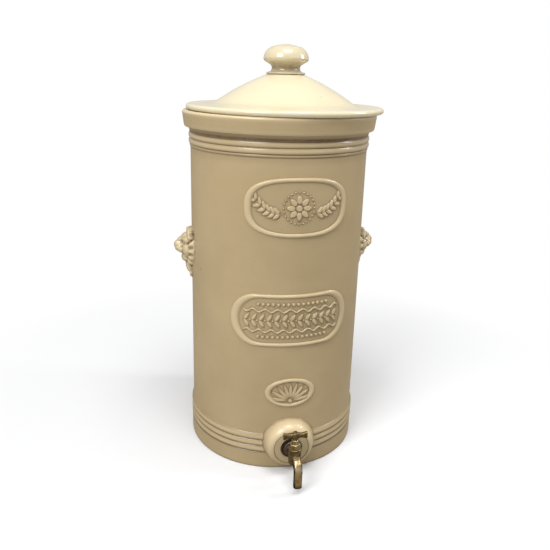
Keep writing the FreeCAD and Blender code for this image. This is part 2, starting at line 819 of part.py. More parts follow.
def make_spindle():
    """The screwed spindle: thread, plain stem and a square for the handle."""
    thread = Part.makeCylinder(thread_radius, thread_top_z - thread_bottom_z, valve_place(thread_bottom_z))
    stem = Part.makeCylinder(stem_radius, square_bottom_z - thread_top_z, valve_place(thread_top_z))
    side = square_side
    corner = valve_place(square_bottom_z) - V(side / 2.0, side / 2.0, 0)
    square = Part.makeBox(side, side, square_top_z - square_bottom_z, corner)
    spindle = thread.multiFuse([stem, square])
    pocket_radius = jumper_pin_radius + jumper_pin_gap
    pocket_depth = jumper_pin_length + 2 * jumper_pin_gap
    pocket = Part.makeCylinder(pocket_radius, pocket_depth, valve_place(thread_bottom_z))
    tapped = Part.makeCylinder(screw_radius, screw_length, valve_place(square_top_z - screw_length))
    return spindle.cut(pocket).cut(tapped)


def wing_face():
    """The front view of the handle's two flared wings, as a face in X and Z."""
    y = -valve_distance + wing_thickness / 2.0
    mid = wing_mid_z
    waist = wing_waist_height / 2.0
    end = wing_end_height / 2.0
    reach = handle_span / 2.0 - wing_end_bulge
    edges = []
    for side in (1, -1):
        corners = [V(side * reach, y, mid + end), V(side * reach, y, mid - end)]
        bulge = V(side * (reach + wing_end_bulge), y, mid)
        edges.append(Part.Arc(corners[0], bulge, corners[1]).toShape())
    for up in (1, -1):
        left = V(-wing_waist_x, y, mid + up * waist)
        right = V(wing_waist_x, y, mid + up * waist)
        edges.append(Part.LineSegment(left, right).toShape())
        for side, near in ((-1, left), (1, right)):
            far = V(side * reach, y, mid + up * end)
            sag = V(0, 0, -up * 0.7)
            edges.append(Part.Arc(near, (near + far) * 0.5 + sag, far).toShape())
    return Part.Face(Part.Wire(Part.__sortEdges__(edges)))


def make_tap_handle():
    """A cast cross handle, square-holed, with two flared wings across the tap."""
    wings = wing_face().extrude(V(0, -wing_thickness, 0))
    wings = wings.makeFillet(wing_round, wings.Edges)
    low = handle_bottom_z
    top = low + handle_hub_height
    hub = Outline(0, low).line(handle_hub_radius - 0.6, low).line(handle_hub_radius, low + 0.6)
    hub.line(handle_hub_radius, top - handle_hub_crown)
    hub.corner(screw_head_radius, top, 0.35).line(0, top)
    hub = hub.turned()
    hub.translate(valve_place(0))
    side = square_side + 2 * square_gap
    corner = valve_place(square_bottom_z) - V(side / 2.0, side / 2.0, 0)
    square = Part.makeBox(side, side, square_top_z - square_bottom_z, corner)
    way_height = square_bottom_z - low
    stem_way = Part.makeCylinder(stem_radius + square_gap, way_height, valve_place(low))
    screw_way = Part.makeCylinder(screw_radius, top - square_top_z, valve_place(square_top_z))
    return wings.fuse(hub).cut(square).cut(stem_way).cut(screw_way)


def make_handle_screw():
    """A slotted cheese-head screw down into the spindle."""
    top = handle_bottom_z + handle_hub_height
    shank_end = square_top_z - screw_length
    shank = Part.makeCylinder(screw_radius, top - shank_end, valve_place(shank_end))
    head = Part.makeCylinder(screw_head_radius, screw_head_height, valve_place(top))
    head_edges = [e for e in head.Edges if abs(e.BoundBox.ZMin - top - screw_head_height) < 0.01]
    head = head.makeFillet(0.4, head_edges)
    slot_corner = valve_place(top + screw_head_height - screw_slot_depth)
    slot_corner = slot_corner - V(screw_head_radius + 1, screw_slot_width / 2.0, 0)
    slot = Part.makeBox(2 * screw_head_radius + 2, screw_slot_width, 1, slot_corner)
    return shank.fuse(head).cut(slot)


def make_left_mask():
    return make_mask().mirror(V(0, 0, 0), V(1, 0, 0))


def make_upper_medallion():
    return make_oval(upper_oval_width, upper_oval_height, upper_oval_z, upper_oval_turn, rosette_and_sprays)


def make_middle_medallion():
    return make_oval(middle_oval_width, middle_oval_height, middle_oval_z, 0.0, bead_rows)


def make_lower_medallion():
    return make_oval(lower_oval_width, lower_oval_height, lower_oval_z, 0.0, fan, ellipse=True)


PIECES = {
    "filter_jar": make_filter_jar,
    "jar_ledge": make_jar_ledge,
    "tap_boss": make_tap_boss,
    "upper_medallion": make_upper_medallion,
    "middle_medallion": make_middle_medallion,
    "lower_medallion": make_lower_medallion,
    "left_mask": make_left_mask,
    "right_mask": make_mask,
    "air_pipe": make_air_pipe,
    "lid": make_lid,
    "lid_knob": make_lid_knob,
    "filter_pan": make_filter_pan,
    "pan_seal": make_pan_seal,
    "lower_felt": make_lower_felt,
    "charcoal_bed": make_charcoal_bed,
    "upper_felt": make_upper_felt,
    "cover_plate": make_cover_plate,
    "cover_knob": make_cover_knob,
    "front_washer": make_front_washer,
    "tap_body": make_tap_body,
    "tap_spout": make_tap_spout,
    "back_washer": make_back_washer,
    "back_nut": make_back_nut,
    "bonnet": make_bonnet,
    "gland_packing": make_gland_packing,
    "gland_nut": make_gland_nut,
    "jumper_washer": make_jumper_washer,
    "jumper_valve": make_jumper_valve,
    "spindle": make_spindle,
    "tap_handle": make_tap_handle,
    "handle_screw": make_handle_screw,
}

os.makedirs("parts", exist_ok=True)
for name, make in PIECES.items():
    shape = make()
    shape.exportStep(os.path.join("parts", name + ".step"))
    print(name, len(shape.Solids), "solid", round(shape.Volume), "mm3", "valid", shape.isValid())
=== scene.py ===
"""Stoneware gravity water filter: the finish of every piece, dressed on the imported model.

Metres, in the model's own frame: +Z up from the foot, the tap towards -Y.
"""
import math

import bpy
import mathutils
import numpy as np
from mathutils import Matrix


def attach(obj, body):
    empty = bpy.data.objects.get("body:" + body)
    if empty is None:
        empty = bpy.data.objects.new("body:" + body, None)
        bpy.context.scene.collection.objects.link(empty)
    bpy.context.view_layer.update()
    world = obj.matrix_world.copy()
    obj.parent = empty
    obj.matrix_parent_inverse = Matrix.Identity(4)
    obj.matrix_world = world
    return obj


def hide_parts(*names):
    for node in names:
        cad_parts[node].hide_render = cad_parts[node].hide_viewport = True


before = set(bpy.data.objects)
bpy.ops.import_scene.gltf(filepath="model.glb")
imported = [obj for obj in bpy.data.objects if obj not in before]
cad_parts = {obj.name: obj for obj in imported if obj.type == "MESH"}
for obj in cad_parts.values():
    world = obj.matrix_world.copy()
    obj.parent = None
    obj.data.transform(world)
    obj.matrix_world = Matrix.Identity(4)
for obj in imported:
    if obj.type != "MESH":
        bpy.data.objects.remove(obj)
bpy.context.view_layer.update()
MM = 0.001

# The photograph's view: a camera a little to the left of the tap and above the lid,
# leaning slightly, over a white floor with soft light from above and from the left.
CAMERA_PLACE = (-0.1627, -0.7656, 0.5015)
CAMERA_TURN = 12.0
CAMERA_DIP = 19.02
CAMERA_LEAN = 1.61
CAMERA_FOCAL = 38.84


def aim(turn, dip, lean):
    """Camera axes as columns: right, up and back, from a turn, a downward dip and a lean."""
    a = math.radians(turn)
    b = math.radians(dip)
    c = math.radians(lean)
    forward = np.array([math.sin(a) * math.cos(b), math.cos(a) * math.cos(b), -math.sin(b)])
    right = np.array([math.cos(a), -math.sin(a), 0.0])
    up = np.cross(right, forward)
    right_leaning = math.cos(c) * right + math.sin(c) * up
    up_leaning = -math.sin(c) * right + math.cos(c) * up
    return np.column_stack([right_leaning, up_leaning, -forward])


def place_camera():
    data = bpy.data.cameras.new("camera")
    data.lens = CAMERA_FOCAL
    data.sensor_width = 36.0
    camera = bpy.data.objects.new("camera", data)
    turn = mathutils.Matrix(aim(CAMERA_TURN, CAMERA_DIP, CAMERA_LEAN).tolist())
    camera.matrix_world = mathutils.Matrix.Translation(CAMERA_PLACE) @ turn.to_4x4()
    bpy.context.scene.collection.objects.link(camera)
    bpy.context.scene.camera = camera


class Socket:
    """Wraps a shader socket, so that sums and products on it add Math nodes."""

    def __init__(self, tree, socket):
        self.tree = tree
        self.socket = socket

    def maths(self, operation, *values, clamp=False):
        node = self.tree.nodes.new("ShaderNodeMath")
        node.operation = operation
        node.use_clamp = clamp
        for slot_in, value in zip(node.inputs, values):
            if isinstance(value, Socket):
                self.tree.links.new(value.socket, slot_in)
            else:
                slot_in.default_value = value
        return Socket(self.tree, node.outputs[0])

    def __add__(self, other):
        return self.maths("ADD", self, other)

    def __radd__(self, other):
        return self.maths("ADD", other, self)

    def __sub__(self, other):
        return self.maths("SUBTRACT", self, other)

    def __rsub__(self, other):
        return self.maths("SUBTRACT", other, self)

    def __mul__(self, other):
        return self.maths("MULTIPLY", self, other)

    def __rmul__(self, other):
        return self.maths("MULTIPLY", other, self)

    def held(self):
        return self.maths("ADD", self, 0.0, clamp=True)


class Finish:
    """A new material with one Principled shader and the node that its patterns start from."""

    def __init__(self, name):
        self.material = bpy.data.materials.new(name)
        self.material.use_nodes = True
        self.tree = self.material.node_tree
        self.shader = self.tree.nodes["Principled BSDF"]
        self.place = self.node("ShaderNodeTexCoord").outputs["Object"]

    def node(self, kind, settings=None, **values):
        """Any node: its settings are set first, then the values or links of its sockets."""
        made = self.tree.nodes.new(kind)
        for key, value in (settings or {}).items():
            setattr(made, key, value)
        for key, value in values.items():
            self.put(made.inputs[key.replace("_", " ")], value)
        return made

    def put(self, socket, value):
        if isinstance(value, Socket):
            value = value.socket
        if isinstance(value, bpy.types.NodeSocket):
            self.tree.links.new(value, socket)
        else:
            socket.default_value = value

    def noise(self, scale, detail=4.0, roughness=0.5, stretch=None):
        vector = self.place
        if stretch:
            scaled = self.node("ShaderNodeMapping", Vector=vector, Scale=stretch)
            vector = scaled.outputs[0]
        made = self.node("ShaderNodeTexNoise", Vector=vector, Scale=scale, Detail=detail,
                         Roughness=roughness)
        return Socket(self.tree, made.outputs["Fac"])

    def cells(self, scale):
        made = self.node("ShaderNodeTexVoronoi", Vector=self.place, Scale=scale)
        return Socket(self.tree, made.outputs["Distance"])

    def ramp(self, value, low, high):
        """Nought below low, one above high, and an even rise between."""
        made = self.node("ShaderNodeMapRange", {"clamp": True}, Value=value)
        made.inputs["From Min"].default_value = low
        made.inputs["From Max"].default_value = high
        return Socket(self.tree, made.outputs["Result"])

    def attribute(self, name):
        made = self.node("ShaderNodeAttribute", {"attribute_name": name})
        return Socket(self.tree, made.outputs["Fac"])

    def blend(self, share, first, second):
        """A colour between two, by share."""
        made = self.node("ShaderNodeMix", {"data_type": "RGBA"})
        self.put(made.inputs[0], share)
        for socket, value in ((made.inputs[6], first), (made.inputs[7], second)):
            self.put(socket, (*value, 1.0) if isinstance(value, tuple) and len(value) == 3 else value)
        return made.outputs[2]

    def mixed(self, share, under, over):
        """Two shaders by share: the first at nought and the second at one."""
        made = self.node("ShaderNodeMixShader")
        self.put(made.inputs[0], share)
        self.put(made.inputs[1], under.outputs[0])
        self.put(made.inputs[2], over.outputs[0])
        return made

    def bump(self, height, distance, strength=1.0):
        made = self.node("ShaderNodeBump", Strength=strength, Distance=distance, Height=height)
        self.put(self.shader.inputs["Normal"], made.outputs[0])

    def set(self, **values):
        for key, value in values.items():
            self.put(self.shader.inputs[key.replace("_", " ")], value)


def srgb(red, green, blue):
    """A colour given as it looks on a screen, 0 to 255, turned to the shader's linear values."""
    levels = np.array([red, green, blue]) / 255.0
    linear = np.where(levels <= 0.04045, levels / 12.92, ((levels + 0.055) / 1.055) ** 2.4)
    return tuple(float(level) for level in linear)


def soft_light(name, place, towards, size, power):
    data = bpy.data.lights.new(name, "AREA")
    data.shape = "RECTANGLE"
    data.size, data.size_y = size
    data.energy = power
    lamp = bpy.data.objects.new(name, data)
    way = mathutils.Vector(towards) - mathutils.Vector(place)
    lamp.location = place
    lamp.rotation_euler = way.to_track_quat("-Z", "Y").to_euler()
    bpy.context.scene.collection.objects.link(lamp)


def lay_floor():
    """A white floor that keeps the soft shadow near the part and fades to plain white beyond it.

    Glossy rays see a painted reflection in its place, a tan glow like a table top, and all other rays a mid
    grey.
    """
    floor_half = 6.0
    shadow_reach = (0.22, 0.62)
    corners = [(-floor_half, -floor_half, 0), (floor_half, -floor_half, 0),
               (floor_half, floor_half, 0), (-floor_half, floor_half, 0)]
    mesh = bpy.data.meshes.new("floor")
    mesh.from_pydata(corners, [], [(0, 1, 2, 3)])
    floor = bpy.data.objects.new("floor", mesh)
    bpy.context.scene.collection.objects.link(floor)
    finish = Finish("floor")
    finish.set(Base_Color=(0.52, 0.52, 0.52, 1.0), Roughness=1.0, Specular_IOR_Level=0.0)
    lit = finish.node("ShaderNodeBsdfDiffuse", Color=(0.81, 0.82, 0.84, 1.0))
    white = finish.node("ShaderNodeEmission", Color=(1.0, 1.0, 1.0, 1.0), Strength=1.0)
    # Painted reflection: a tan glow that only glossy rays see, standing in for a table top.
    painted_reflection = finish.node("ShaderNodeEmission", Color=(0.64, 0.53, 0.39, 1.0), Strength=0.62)
    away = finish.node("ShaderNodeVectorMath", {"operation": "LENGTH"}, Vector=finish.place)
    rays = finish.node("ShaderNodeLightPath")
    shown = finish.mixed(finish.ramp(away.outputs["Value"], *shadow_reach), lit, white)
    unseen = finish.mixed(rays.outputs["Is Glossy Ray"], finish.shader, painted_reflection)
    seen = finish.mixed(rays.outputs["Is Camera Ray"], unseen, shown)
    finish.tree.links.new(seen.outputs[0], finish.tree.nodes["Material Output"].inputs["Surface"])
    floor.data.materials.append(finish.material)


def light_the_room():
    world = bpy.data.worlds.new("room")
    world.use_nodes = True
    bpy.context.scene.world = world
    tree = world.node_tree
    background = tree.nodes["Background"]
    background.inputs["Color"].default_value = (1.0, 0.985, 0.96, 1.0)
    background.inputs["Strength"].default_value = 0.42
    rays = tree.nodes.new("ShaderNodeLightPath")
    under = background
    for kind, colour, strength in (("Is Glossy Ray", (1.0, 0.98, 0.94, 1.0), 0.62),
                                   ("Is Camera Ray", (1.0, 1.0, 1.0, 1.0), 1.0)):
        other = tree.nodes.new("ShaderNodeBackground")
        other.inputs["Color"].default_value = colour
        other.inputs["Strength"].default_value = strength
        mix = tree.nodes.new("ShaderNodeMixShader")
        tree.links.new(rays.outputs[kind], mix.inputs[0])
        tree.links.new(under.outputs[0], mix.inputs[1])
        tree.links.new(other.outputs[0], mix.inputs[2])
        under = mix
    tree.links.new(under.outputs[0], tree.nodes["World Output"].inputs["Surface"])
    soft_light("key", (-1.3, -1.2, 1.7), (0, 0, 0.25), (1.0, 1.0), 33.0)
    soft_light("top", (0.05, -0.55, 2.2), (0, 0, 0.2), (1.0, 1.0), 22.0)
    soft_light("edge", (0.80, -0.12, 0.80), (0.05, 0, 0.36), (0.12, 0.4), 2.6)


place_camera()
lay_floor()
light_the_room()
bpy.context.scene.view_settings.view_transform = "Standard"

# Jar: one thrown stoneware cylinder with a moulded foot and rim, dipped in a warm buff glaze
# that runs thin on the beads and gathers brown in the grooves; painted highlights lie on the crests and
# the rim, and painted shade in the grooves, under the rim and at the foot. It is a turned surface from
# the foot, up the outside, over the lip and down the inside to the floor.
JAR_TURNS = 240
BODY_FOOT = 115.0
BODY_NECK = 113.3
FOOT = 117.1
FOOT_BAND = 23.4
LOWER_BEAD = (9.0, 3, 2.6)
UPPER_STEP = (409.0, 412.3)
UPPER_BEAD = (7.2, 2, 2.2)
RIM = 123.3
RIM_LEAN = 2.4
BORE = 104.0
COVE = 6.8
LIP_ROUND = 3.4
JAR_TOP = 453.5
WALL_Z = (FOOT_BAND + LOWER_BEAD[0] * LOWER_BEAD[1], UPPER_STEP[0])


def lay_surface(name, grid, body, finish, replaced=(), marks=None, ends=(False, False),
                loop=True, flip=False):
    """A smooth mesh over a grid of points (rows, columns, 3) in millimetres.

    Columns close on themselves when loop is true. An end marked true is drawn to one point in
    its middle and closed with a fan. marks are named numbers, one for each point of the grid.
    """
    rows, columns = grid.shape[:2]
    points = [grid.reshape(-1, 3) * MM]
    marks = marks or {}
    extra = {key: [np.broadcast_to(value, (rows, columns)).reshape(-1)] for key, value in marks.items()}
    index = np.arange(rows * columns).reshape(rows, columns)
    around = np.roll(index, -1, axis=1) if loop else index[:, 1:]
    first = index if loop else index[:, :-1]
    quads = np.stack([first[:-1], around[:-1], around[1:], first[1:]], axis=-1).reshape(-1, 4)
    fans = []
    for end, row in zip(ends, (0, rows - 1)):
        if end:
            middle = len(np.concatenate(points))
            points.append(grid[row].mean(axis=0, keepdims=True) * MM)
            for key in extra:
                extra[key].append(extra[key][0].reshape(rows, columns)[row].mean(keepdims=True))
            ring = index[row]
            nearby = np.roll(ring, -1)
            hub = np.full(columns, middle)
            fan = np.stack([hub, nearby, ring] if row == 0 else [hub, ring, nearby], axis=-1)
            fans.append(fan)
    mesh = bpy.data.meshes.new(name)
    every = quads.tolist() + [tri for fan in fans for tri in fan.tolist()]
    if flip:
        every = [face[::-1] for face in every]
    mesh.from_pydata(np.concatenate(points).tolist(), [], every)
    for key, parts in extra.items():
        layer = mesh.attributes.new(key, "FLOAT", "POINT")
        layer.data.foreach_set("value", np.concatenate(parts).astype(np.float32))
    mesh.polygons.foreach_set("use_smooth", np.ones(len(mesh.polygons), dtype=bool))
    mesh.update()
    mesh.materials.append(finish.material)
    piece = bpy.data.objects.new(name, mesh)
    bpy.context.scene.collection.objects.link(piece)
    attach(piece, body)
    if replaced:
        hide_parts(*replaced)
    return piece


def round_way(turns):
    """Angles once round, one for each column."""
    return np.linspace(0.0, 2 * np.pi, turns, endpoint=False)


def turned_grid(radius, height, turns, sway=0.0, middle=(0.0, 0.0)):
    """Points of a profile (radius, height) turned about Z, with a little hand-thrown sway."""
    angle = round_way(turns)
    wander = 1.0 + sway * (np.sin(2 * angle + 0.7) + 0.5 * np.sin(3 * angle + 2.1))
    across = radius[:, None] * wander[None, :]
    level = np.broadcast_to(height[:, None], across.shape)
    return np.stack([across * np.cos(angle) + middle[0], across * np.sin(angle) + middle[1], level], axis=-1)


def bead(z, start, pitch, count):
    """Row of round beads: one at the crest, nought in the groove between two, by height."""
    share = (z - start) / pitch
    inside = (share > 0) & (share < count)
    across = 2.0 * (share - np.floor(share)) - 1.0
    crest = np.sqrt(np.clip(1.0 - across ** 2, 0.0, 1.0) + 0.045) / math.sqrt(1.045)
    return np.where(inside, crest, 0.0), inside


def wall_at(z):
    """Radius of the plain wall at a height."""
    share = (z - WALL_Z[0]) / (WALL_Z[1] - WALL_Z[0])
    return BODY_FOOT + share * (BODY_NECK - BODY_FOOT)


def jar_outside(z):
    """Radius, darker glaze with painted shade, and paler glaze with painted highlight, of the jar's outside,
    for heights from foot to rim.
    """
    radius = wall_at(np.clip(z, *WALL_Z))
    low, low_inside = bead(z, FOOT_BAND, LOWER_BEAD[0], LOWER_BEAD[1])
    upper_start = UPPER_STEP[1]
    high, high_inside = bead(z, upper_start, UPPER_BEAD[0], UPPER_BEAD[1])
    radius = np.where(low_inside, BODY_FOOT + LOWER_BEAD[2] * low, radius)
    radius = np.where(high_inside, BODY_NECK + UPPER_BEAD[2] * high, radius)
    foot_edge = np.clip(z / 1.6, 0.0, 1.0)
    band_end = np.clip((FOOT_BAND - z) / 1.4, 0.0, 1.0)
    foot_radius = FOOT - 1.5 * (1 - np.sqrt(1 - (1 - foot_edge) ** 2))
    foot_radius = foot_radius - (FOOT - BODY_FOOT) * (1 - np.sqrt(1 - (1 - band_end) ** 2))
    radius = np.where(z < FOOT_BAND, foot_radius, radius)
    step = (z >= UPPER_STEP[0]) & (z < UPPER_STEP[1])
    step_share = np.clip((z - UPPER_STEP[0]) / (UPPER_STEP[1] - UPPER_STEP[0]), 0.0, 1.0)
    radius = np.where(step, BODY_NECK + 1.0 * np.sqrt(np.clip(1 - (2 * step_share - 1) ** 2, 0, 1)), radius)
    cove_start = upper_start + UPPER_BEAD[0] * UPPER_BEAD[1]
    cove_share = np.clip((z - cove_start) / COVE, 0.0, 1.0)
    cove_end = cove_start + COVE
    cove_reach = RIM - RIM_LEAN - 1.4 - BODY_NECK - 0.9
    coved = BODY_NECK + 0.9 + cove_reach * (1 - np.sqrt(np.clip(1 - cove_share ** 2.2, 0, 1)))
    radius = np.where((z >= cove_start) & (z < cove_end), coved, radius)
    lip = np.clip((z - (JAR_TOP - LIP_ROUND)) / LIP_ROUND, 0.0, 1.0)
    lean = RIM_LEAN * (1 - np.clip((z - cove_end) / (JAR_TOP - cove_end), 0.0, 1.0))
    heel = 1 - np.clip((z - cove_end) / 2.6, 0.0, 1.0)
    band = RIM - lean - 1.4 * (1 - np.sqrt(1 - heel ** 2)) - LIP_ROUND * (1 - np.sqrt(1 - lip ** 2))
    radius = np.where(z >= cove_end, band, radius)
    # Painted shade, partly glaze that gathers in hollows: darker in the bead grooves, the cove under the rim,
    # the steps, the top of the foot band and where the foot meets the floor.
    pool_and_shade = np.where(low_inside, np.clip((0.78 - low) / 0.52, 0, 1) ** 1.2, 0.0)
    pool_and_shade += np.where(high_inside, np.clip((0.72 - high) / 0.5, 0, 1) ** 1.2 * 0.9, 0.0)
    pool_and_shade += np.exp(-((z - cove_start - 1.6) / 2.4) ** 2) * 0.8
    pool_and_shade += np.exp(-((z - UPPER_STEP[0] + 0.2) / 1.2) ** 2) * 0.5
    pool_and_shade += np.exp(-((z - UPPER_STEP[1]) / 0.9) ** 2) * 0.5
    pool_and_shade += np.exp(-((z - FOOT_BAND + 0.2) / 1.2) ** 2) * 0.7
    pool_and_shade += np.exp(-(z / 1.8) ** 2) * 0.8
    # Painted highlight, partly glaze that runs thin: paler on the bead crests, the rim's rounded top and the
    # rim's lower edge.
    crest = np.where(low_inside, np.clip((low - 0.82) / 0.18, 0, 1) * 0.4, 0.0)
    crest += np.where(high_inside, np.clip((high - 0.82) / 0.18, 0, 1) * 0.35, 0.0)
    crest += np.exp(-((z - JAR_TOP + 1.4) / 1.9) ** 2) * 0.75
    crest += np.exp(-((z - cove_end - 2.2) / 1.6) ** 2) * 0.3
    return radius, np.clip(pool_and_shade, 0.0, 1.0), np.clip(crest, 0.0, 1.0)


def glaze(name, thick, pool_and_shade_brown, thin, pale, speck=0.5, gloss=0.2):
    """Fired glaze: drifts of colour, brown where it gathers and where shade is painted, pale where it runs
    thin and where a highlight is painted, with specks.
    """
    finish = Finish(name)
    drift = finish.noise(9.0, 3.0, 0.55)
    curtain = finish.noise(16.0, 4.0, 0.6, stretch=(1.0, 1.0, 0.22))
    colour = finish.blend(finish.ramp(drift, 0.35, 0.7), thick, thin)
    colour = finish.blend(finish.ramp(curtain, 0.45, 0.75) * 0.35, colour, thin)
    # Brown where the glaze pools and where shade is painted on, from the marks of each mesh.
    gathered_and_shaded = finish.attribute("gathered_and_shaded")
    broken = finish.noise(120.0, 3.0, 0.6)
    colour = finish.blend((gathered_and_shaded * (0.75 + broken * 0.5)).held(), colour, pool_and_shade_brown)
    # Paler where the glaze runs thin and where a highlight is painted on.
    colour = finish.blend((finish.attribute("thinned_and_highlit") * (0.8 + broken * 0.3)).held(), colour, pale)
    fleck = finish.ramp(finish.cells(260.0), 0.10, 0.03) * finish.ramp(finish.noise(60.0, 2.0), 0.5, 0.62)
    colour = finish.blend(fleck * speck, colour, pool_and_shade_brown)
    finish.set(Base_Color=colour, Roughness=0.24 + finish.noise(40.0, 3.0) * 0.12)
    finish.set(Coat_Weight=gloss, Coat_Roughness=0.08, Specular_IOR_Level=0.42)
    ripple = finish.noise(28.0, 3.0, 0.5, stretch=(1.0, 1.0, 2.2)) + finish.noise(340.0, 2.0) * 0.10
    finish.bump(ripple, 0.0009, 0.55)
    return finish


jar_glaze = glaze("jar_glaze", srgb(172, 152, 115), srgb(84, 61, 36), srgb(183, 163, 126),
                  srgb(222, 203, 165))


def jar_heights():
    """Heights up the outside, close together on the beads and lips and wide on the plain wall."""
    foot = np.linspace(0.0, WALL_Z[0] + 1.0, 108, endpoint=False)
    plain = np.linspace(WALL_Z[0] + 1.0, WALL_Z[1] - 1.5, 44, endpoint=False)
    neck = np.linspace(WALL_Z[1] - 1.5, 434.5, 72, endpoint=False)
    rim = np.concatenate([np.linspace(434.5, JAR_TOP - LIP_ROUND, 6, endpoint=False),
                          JAR_TOP - LIP_ROUND * (1 - np.sin(np.linspace(0, np.pi / 2, 9)))])
    return np.concatenate([foot, plain, neck, rim])


def jar_profile():
    """Radius, height, and the glaze's darker marks with painted shade and paler marks with painted highlight,
    from the middle of the foot round to the middle of the floor.
    """
    height = jar_heights()
    radius, pool_and_shade, crest = jar_outside(height)
    bottom = np.array([0.5, 60.0, 110.0])
    turn = np.linspace(0, np.pi / 2, 6)
    lip_r = BORE + 3.0 * (1 - np.sin(turn))
    lip_z = JAR_TOP - 3.0 * (1 - np.cos(turn))
    ledge_r = np.array([BORE, BORE, 86.0, 83.0, 82.2, 82.0, 82.0, 83.0, BORE - 1, BORE, BORE])
    ledge_z = np.array([330.0, 208.2, 208.0, 207.5, 206.5, 205.0, 197.0, 195.0, 175.0, 172.0, 22.0])
    corner_r = BORE - 8.0 * (1 - np.cos(turn))
    corner_z = 22.0 - 8.0 * np.sin(turn)
    floor_r = np.array([60.0, 20.0, 0.5])
    radii = np.concatenate([bottom, radius, [119.0, 111.0], lip_r, ledge_r, corner_r, floor_r])
    floor_z = np.full(len(floor_r), 14.0)
    heights = np.concatenate([0 * bottom, height, [JAR_TOP] * 2, lip_z, ledge_z, corner_z, floor_z])
    inner = len(radii) - len(bottom) - len(radius)
    # The foot's underside gets painted shade too.
    pools_and_shade = np.concatenate([0 * bottom + 0.4, pool_and_shade, np.zeros(inner)])
    crests = np.concatenate([0 * bottom, crest, np.zeros(inner)])
    return radii, heights, {"gathered_and_shaded": pools_and_shade[:, None], "thinned_and_highlit": crests[:, None]}


radii, heights, jar_marks = jar_profile()
lay_surface("stoneware_jar", turned_grid(radii, heights, JAR_TURNS, 0.0006), "jar", jar_glaze,
            ("filter_jar", "jar_ledge"), jar_marks, (True, True))

# Boss: a pad of clay worked on to the wall where the tap goes in, smoothed out all round,
# with a flat sponged face, an incised line near its edge and a sunk seat for the washer.
BOSS_Z = 40.0
BOSS_FACE = 132.0
BOSS_FACE_RADIUS = 24.5
BOSS_SEAT_RADIUS = 13.6
BOSS_SEAT_DEPTH = 2.0
BOSS_TURNS = 200


def softer(first, second, width):
    """The greater of two heights, rounded off where they meet."""
    gap = np.clip(0.5 + 0.5 * (first - second) / width, 0.0, 1.0)
    return second + (first - second) * gap + width * gap * (1.0 - gap)


def boss_grid():
    """Rings about the tap's axis: how far out the pad stands, melted into the wall behind it."""
    seat = np.linspace(8.9, BOSS_SEAT_RADIUS, 8, endpoint=False)
    face = np.linspace(BOSS_SEAT_RADIUS, BOSS_FACE_RADIUS - 4, 10, endpoint=False)
    edge = np.linspace(BOSS_FACE_RADIUS - 4, BOSS_FACE_RADIUS + 4, 60, endpoint=False)
    slope = np.linspace(BOSS_FACE_RADIUS + 4, 46.0, 46)
    reach = np.concatenate([seat, face, edge, slope])
    angle = round_way(BOSS_TURNS)
    out = np.minimum(reach, 60.0)
    x = out[:, None] * np.cos(angle)
    z = BOSS_Z + out[:, None] * np.sin(angle)
    level = np.clip(z, 0.0, None)
    wall_radius, _, _ = jar_outside(np.clip(level, 0.5, 400.0))
    wall = np.sqrt(np.clip(wall_radius ** 2 - x ** 2, 0.0, None)) - 0.25
    past = np.clip(reach - (BOSS_FACE_RADIUS - 1.2), 0.0, None)
    dome = BOSS_FACE - 0.25 * past - 18.0 * (1 - np.sqrt(np.clip(1 - (past / 10.4) ** 2, 0.03, 1.0)))
    dome = np.where(past > 10.2, dome - (past - 10.2) * 3.0, dome)
    rounded = np.where(past > 0, dome, BOSS_FACE)
    line = np.exp(-((reach - 22.6) / 0.32) ** 2)
    raised = np.exp(-((reach - 23.6) / 0.7) ** 2) * 0.2
    pad = rounded - 0.55 * line + raised
    seat_drop = np.clip((BOSS_SEAT_RADIUS + 0.15 - reach) / 0.3, 0.0, 1.0)
    pad = pad - BOSS_SEAT_DEPTH * seat_drop
    front = softer(np.broadcast_to(pad[:, None], wall.shape), wall, 3.4)
    front = np.where(reach[:, None] < BOSS_FACE_RADIUS + 1, pad[:, None], front)
    melt = np.clip((reach[:, None] - 38.0) / 8.0, 0.0, 1.0)
    front = front - melt * 1.6
    # Painted shade, partly glaze that gathers: darker in the incised line and at the seat's edge.
    pool_and_shade = np.exp(-((reach - 22.6) / 0.5) ** 2) + 0.7 * np.exp(-((reach - BOSS_SEAT_RADIUS) / 0.8) ** 2)
    # Painted shade in the crease where the pad meets the wall.
    crease_shade = 0.75 * np.exp(-((rounded[:, None] - wall) / 2.6) ** 2) * (reach[:, None] > BOSS_FACE_RADIUS + 3)
    # Painted highlight, partly glaze that runs thin: paler on the dome's shoulder, most on its upper side.
    bright = np.exp(-((past - 5.0) / 5.0) ** 2)[:, None] * (0.55 + 0.35 * np.sin(angle))[None, :]
    marks = {"gathered_and_shaded": np.clip(pool_and_shade[:, None] + crease_shade, 0, 1), "thinned_and_highlit": np.clip(bright, 0, 1)}
    return np.stack([x, -front, level], axis=-1), marks


boss_points, boss_marks = boss_grid()
lay_surface("boss_glaze", boss_points, "jar", jar_glaze, ("tap_boss",), boss_marks, flip=True)

# Reliefs: thin pads pressed in a mould and stuck on the wall before glazing, each with a
# raised border and a pattern in low relief. Only plain flowers, leaves, beads and ribs are used.
PAD = 0.9
BORDER = (5.0, 2.7)
RELIEF = 1.9


def petal_depth(s, z, length, width, x, y, angle):
    """How far inside a petal a point is, less than nought outside. The petal starts at (x, y)."""
    way = math.radians(angle)
    along = (s - x) * math.cos(way) + (z - y) * math.sin(way) - length / 2
    across = -(s - x) * math.sin(way) + (z - y) * math.cos(way)
    taper = 1.0 - 0.25 * along / (length / 2)
    reach = np.sqrt((along / (length / 2)) ** 2 + (across / (width / 2 * np.clip(taper, 0.3, 2))) ** 2)
    return (1.0 - reach) * width / 2


def bead_depth(s, z, radius, x, y):
    return radius - np.hypot(s - x, z - y)


